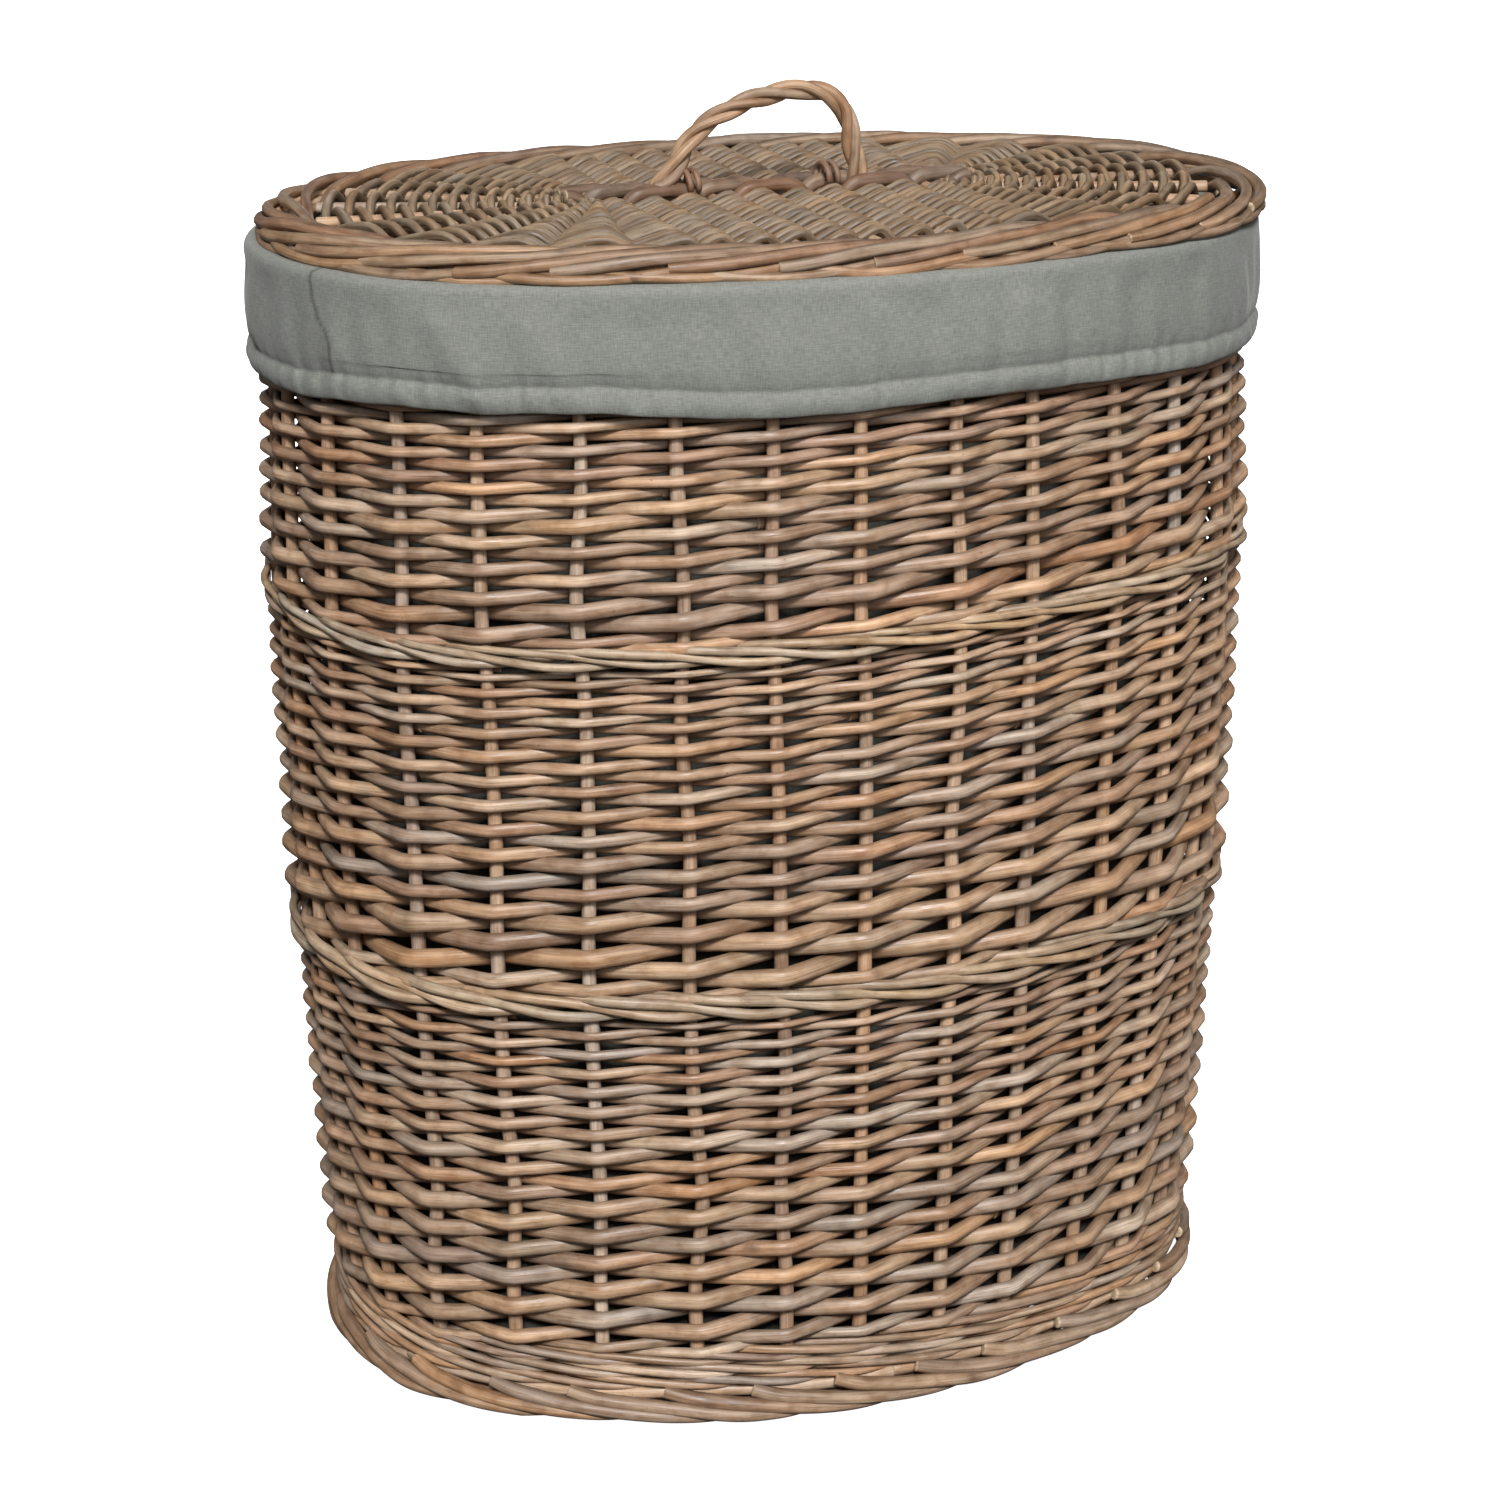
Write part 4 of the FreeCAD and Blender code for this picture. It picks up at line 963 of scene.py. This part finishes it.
Z = np.array([resolve(p[0], p[1], z_low) * (1 - f) + resolve(q[0], q[1], z_low) * f for p, q, f in fine])
Rr = np.array([np.full(NC, p[2] * (1 - f) + q[2] * f) for p, q, f in fine])
for _ in range(2):
    Rr[1:-1] = 0.25 * Rr[:-2] + 0.5 * Rr[1:-1] + 0.25 * Rr[2:]
    Z[1:-1] = 0.25 * Z[:-2] + 0.5 * Z[1:-1] + 0.25 * Z[2:]
above = Z - z_low[None]
un = (uq / N_ST)[None]
free = np.clip(above / 8, 0, 1) * np.clip((563 - Z) / 12, 0, 1)
gather = np.exp(-(((above - 12.3) / 7.0) ** 2))
gth = fractal(un, Z, 401, [(70, 130, 0.02, 1.0, 9), (130, 220, 0.03, 0.6, 7)])
wr = fractal(un, Z, 402, [(4, 12, 0.02, 1.0, 6), (14, 40, 0.05, 0.8, 10), (40, 80, 0.07, 0.35, 10)])
hem = np.clip(above / 4, 0, 1) * np.clip((12 - above) / 4, 0, 1)
Rr = Rr + free * 0.9 * wr + gather * 0.22 * gth + 0.15 * hem * gth
V = oval(uq[None] + 0 * Z, Rr, Z, h=21.0)
step = np.linalg.norm(np.diff(V, axis=0), axis=2).mean(1)
vl = np.concatenate([[0], np.cumsum(step)])
per = np.linalg.norm(np.diff(V[len(V) // 2], axis=0), axis=1).sum()
cl = np.zeros((len(V), NC + 1, 3))
cl[..., 0] = np.linspace(0, per, NC + 1)[None]
cl[..., 1] = vl[:, None]
SZ = [520, 524.8, 536.2, 542.6, 546.5, 554.9, 563.6, 567.2, 571]
SQ = [-5.66, -5.66, -5.65, -5.71, -5.81, -5.90, -5.94, -5.94, -5.8]
seam_mm = (uu[None] - np.interp(Z, SZ, SQ)) * 43.0
seam = np.exp(-((seam_mm / 1.1) ** 2)) * (above > 12.5)
seam2 = np.exp(-(((uu[None] - 9.3) * 43.0 / 1.1) ** 2)) * (above > 12.5)
# painted shade: dark lines along the two seams, partly the seams' own darker line and partly painted shade in their
# grooves; a painted shade line along the hem's gather crease; painted shade on the fold just above the lower edge
shade = 1 - 0.55 * (seam + seam2) - 0.11 * np.exp(-(((above - 12.3) / 1.0) ** 2)) - 0.05 * np.clip((3 - above) / 3, 0, 1)
cuff = sheet_mesh("linen_cuff", V, True, M_LINEN, cl, shade * np.ones_like(Z), thick=0.9, outward=True)
pieces["linen_cuff"] = (cuff, "liner", ["liner_cuff"], "linen")

# elastic inside the hem
NE = 720
ue = np.arange(NE) / NE * N_ST
ze = np.interp(np.where(ue > 15, ue - 30, ue), LOWX, LOWZ)
VE = np.array([oval(ue, 147.0 + 0.12 * np.sin(ue * TAU / 30 * 170) + 0 * ue, ze + a, h=21.0) for a in (1.8, 4.2, 6.6, 8.8, 10.6)])
ce = np.zeros((5, NE + 1, 3))
ce[..., 0] = np.linspace(0, 1180, NE + 1)[None]
ce[..., 1] = np.array([0, 1.8, 3.6, 5.4, 7.0])[:, None]
el = sheet_mesh("hem_elastic_band", VE, True, M_ELASTIC, ce, np.ones((5, NE)), thick=0.5)
pieces["hem_elastic_band"] = (el, "liner", ["cuff_elastic"], "elastic")

# bag: hangs inside from the rim, with soft vertical folds
NB = 600
ub = np.arange(NB) / NB * N_ST
zb = np.concatenate([np.linspace(25.2, 40, 8)[:-1], np.linspace(40, 540, 90)[:-1], np.linspace(540, 564.8, 10)])
rb = np.interp(zb, [25, 40, 110, 460, 530, 565], [113.2, 115.2, 121.5, 124.0, 124.0, 124.6])
ZB = zb[:, None] + 0 * ub[None]
fold = fractal((ub / N_ST)[None], ZB, 411, [(5, 14, 0.004, 1.0, 7), (16, 34, 0.008, 0.7, 10), (40, 70, 0.02, 0.25, 10)])
amp_b = np.interp(zb, [25, 60, 300, 520, 565], [0.5, 1.4, 1.8, 1.4, 0.2])[:, None]
RB = rb[:, None] - np.abs(amp_b * fold) * 0.9 + 0 * ub[None]
VB = oval(ub[None] + 0 * ZB, RB, ZB, h=20.0)
perb = np.linalg.norm(np.diff(VB[50], axis=0), axis=1).sum()
cb = np.zeros((len(zb), NB + 1, 3))
cb[..., 0] = np.linspace(0, perb, NB + 1)[None]
cb[..., 1] = zb[:, None]
bag = sheet_mesh("linen_bag", VB, True, M_LINEN_SHADED, cb, np.ones((len(zb), NB)), thick=0.8, outward=True)
pieces["linen_bag"] = (bag, "liner", ["liner_side"], "linen")

# bag bottom: flat panel with low wrinkles
rf = np.linspace(0.02, 1.0, 46)
VF = []
edge = oval(ub, 113.9, 25.3, h=20.0)
for t in rf:
    p = edge * np.array([t, t, 1.0])
    VF.append(p)
VF = np.array(VF)
wf = fractal(np.zeros_like(VF[..., 0]), VF[..., 0] * 0 + 0, 5, [(1, 1, 0.0, 0.0, 1)])
rngf = np.random.default_rng(421)
for _ in range(14):
    kx, ky = rngf.normal(0, 0.045, 2)
    wf = wf + 0.16 * np.cos(kx * VF[..., 0] + ky * VF[..., 1] + rngf.uniform(0, TAU))
VF[..., 2] = 25.2 + np.clip(wf * np.clip((1 - rf) * 8, 0, 1)[:, None], -0.4, 0.8)
cf = np.zeros((len(rf), NB + 1, 3))
cf[:, :NB, 0], cf[:, :NB, 1] = VF[..., 0], VF[..., 1]
cf[:, NB] = cf[:, 0]
flo = sheet_mesh("linen_bag_bottom", VF, True, M_LINEN_SHADED, cf, np.ones((len(rf), NB)), thick=0.8, outward=False)
pieces["linen_bag_bottom"] = (flo, "liner", ["liner_bottom"], "linen")

# ---------------------------------------------------------------- base
bx = [(i - 4) * 32.0 for i in range(9)]
HB = 28.6
RB0 = 114.2
FB = [60, 32, 10, -10, -32, -60]
topb = [(X, 20.0, X, oval_y(X, RB0, HB)) for X in bx[1:-1]]
botb = [(X, -20.0, X, -oval_y(X, RB0, HB)) for X in bx[1:-1]][::-1]
rightb = [fan(1, a, 21.0, RB0, HB, 108.0) for a in FB]
leftb = [fan(-1, -a, 21.0, RB0, HB, 108.0) for a in FB]
crs = topb + rightb + botb + leftb
gb = np.linspace(5.0, 6.2, 30)
ob = np.concatenate([[0], np.cumsum(gb)])
tb_ = ob / (RB0 + HB - 20.0)
tb_ = tb_[tb_ < 0.99][: len(gb)]
rb_ = gb[: len(tb_)] * 0.5 * 0.98
bw = woven_oval(crs, tb_, 16.8, np.full(len(tb_), 4.6), np.minimum(rb_, 2.75), PALETTE, 601, per=12)
pieces["base_weave_rods"] = (bw.mesh("base_weave_rods", M_WILLOW), "basket", ["base_weave"], "willow")
bs = Rods()
for i, X in enumerate(bx):
    yy = oval_y(X, RB0, HB) * 0.985
    y = np.linspace(-yy, yy, 60)
    bs.add(np.stack([X + 0 * y, y, 16.8 + 0 * y], 1), np.full(60, 2.6), ref=(0, 0, 1), flat=1.9, sides=12, palette=PALETTE, seed=620 + i)
pieces["base_cross_stick_rods"] = (bs.mesh("base_cross_stick_rods", M_STAKE), "basket", ["base_cross_sticks"], "willow_stake")
bl = Rods()
for i, y0 in enumerate((-14.1, -4.7, 4.7, 14.1)):
    x = np.linspace(-209, 209, 90)
    spread = np.clip((np.abs(x) - 112) / 97, 0, 1)
    y = y0 * (1 + spread * (4.0 if abs(y0) > 10 else 2.4))
    z = 16.8 + 0 * x
    bl.add(np.stack([x, y, z], 1), np.full(90, 2.3), flat=1.8, ref=(0, 0, 1), sides=12, palette=PALETTE, seed=640 + i)
pieces["base_long_stick_rods"] = (bl.mesh("base_long_stick_rods", M_STAKE), "basket", ["base_long_sticks"], "willow_stake")

# ---------------------------------------------------------------- riding, replacing
wraps = {}
for nm, x0 in (("handle_wrap_left", -36.0), ("handle_wrap_right", 34.0)):
    a = np.linspace(0, math.pi, 40)
    hs = Rods()
    lo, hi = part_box(nm)
    cx, cy = (lo.x + hi.x) / 2 * 1000 if hasattr(lo, "x") else (lo[0] + hi[0]) / 2 * 1000, 0.0
    z0 = (lo[2]) * 1000
    zh = hi[2] * 1000 - z0
    wx = (hi[0] - lo[0]) * 1000
    wy = (hi[1] - lo[1]) * 1000
    # two turns of a thin strand end round the spine
    a = np.linspace(-0.35 * math.pi, 3.35 * math.pi, 90)
    half = max(min(wy, 24.0) / 2 - 1.4, 6.0)
    pth = np.stack([cx + (a / (3.7 * math.pi) - 0.4) * 8.0, half * np.cos(a) + 0.4 * np.sin(3 * a), z0 + zh * 0.36 + (zh * 0.60) * np.sin(a)], 1)
    ref = (1, 0, 0)
    hs.add(pth, np.full(90, 1.5), palette=WARM, ref=ref, sides=8, seed=700 + int(x0), cut_start=False, cut_end=False, tone=(0.62, 0.60, 0.58))
    pieces[nm + "_rod"] = (hs.mesh(nm + "_rod", M_HANDLE), "lid", [nm], "willow_handle")

for nm, (o, body, cads, slot) in pieces.items():
    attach(o, body)
    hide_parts(*cads)

peri = per / 1000.0

# ---------------------------------------------------------------- room and light
bpy.ops.mesh.primitive_plane_add(size=60, location=(0, 0, 0))
floor = bpy.context.object
floor.name = "floor"
fm, fnt, fb = new_material("pale_floor")
fb.inputs["Base Color"].default_value = (0.86, 0.86, 0.86, 1)
fb.inputs["Roughness"].default_value = 0.95
fb.inputs["Specular IOR Level"].default_value = 0.0
fb.inputs["Emission Color"].default_value = (1, 1, 1, 1)
fb.inputs["Emission Strength"].default_value = 1.0
floor.data.materials.append(fm)
floor.visible_diffuse = False
floor.visible_glossy = False

world = bpy.data.worlds.new("soft_room")
bpy.context.scene.world = world
world.use_nodes = True
wnt = world.node_tree
bg = wnt.nodes["Background"]
wtc = node(wnt, "ShaderNodeTexCoord")
wsep = node(wnt, "ShaderNodeSeparateXYZ")
wnt.links.new(wtc.outputs["Generated"], wsep.inputs["Vector"])
wr = node(wnt, "ShaderNodeValToRGB")
wr.color_ramp.elements[0].position = 0.0
wr.color_ramp.elements[0].color = (0.04, 0.04, 0.04, 1)
wr.color_ramp.elements[1].position = 1.0
wr.color_ramp.elements[1].color = (0.24, 0.24, 0.24, 1)
wmr = node(wnt, "ShaderNodeMapRange")
wmr.inputs["From Min"].default_value = -0.5
wmr.inputs["From Max"].default_value = 0.9
wnt.links.new(wsep.outputs["Z"], wmr.inputs["Value"])
wnt.links.new(wmr.outputs["Result"], wr.inputs["Fac"])
wnt.links.new(wr.outputs["Color"], bg.inputs["Color"])
bg.inputs["Strength"].default_value = 1.0


def sun(name, direction, strength, angle):
    ld = bpy.data.lights.new(name, "SUN")
    ld.energy = strength
    ld.angle = math.radians(angle)
    lo = bpy.data.objects.new(name, ld)
    bpy.context.scene.collection.objects.link(lo)
    lo.rotation_euler = Vector(direction).to_track_quat("-Z", "Y").to_euler()
    return lo


# soft frontal key from a little left of the camera and above it, and a weaker one from the right
sun("key", (0.22, 0.90, -0.82), 3.3, 12)
# light on the far side, so the back is as readable as the front
sun("rear", (-0.28, -0.90, -0.34), 2.1, 25).visible_glossy = False
al = bpy.data.lights.new("softbox", "AREA")
al.shape = "SQUARE"
al.size = 0.45
al.energy = 4.0
ao = bpy.data.objects.new("softbox", al)
bpy.context.scene.collection.objects.link(ao)
ao.location = (-0.10, -1.22, 1.02)
ao.rotation_euler = (Vector((0.02, -0.10, 0.33)) - ao.location).to_track_quat("-Z", "Y").to_euler()

bpy.context.scene.view_settings.view_transform = "Standard"
bpy.context.scene.view_settings.look = "None"
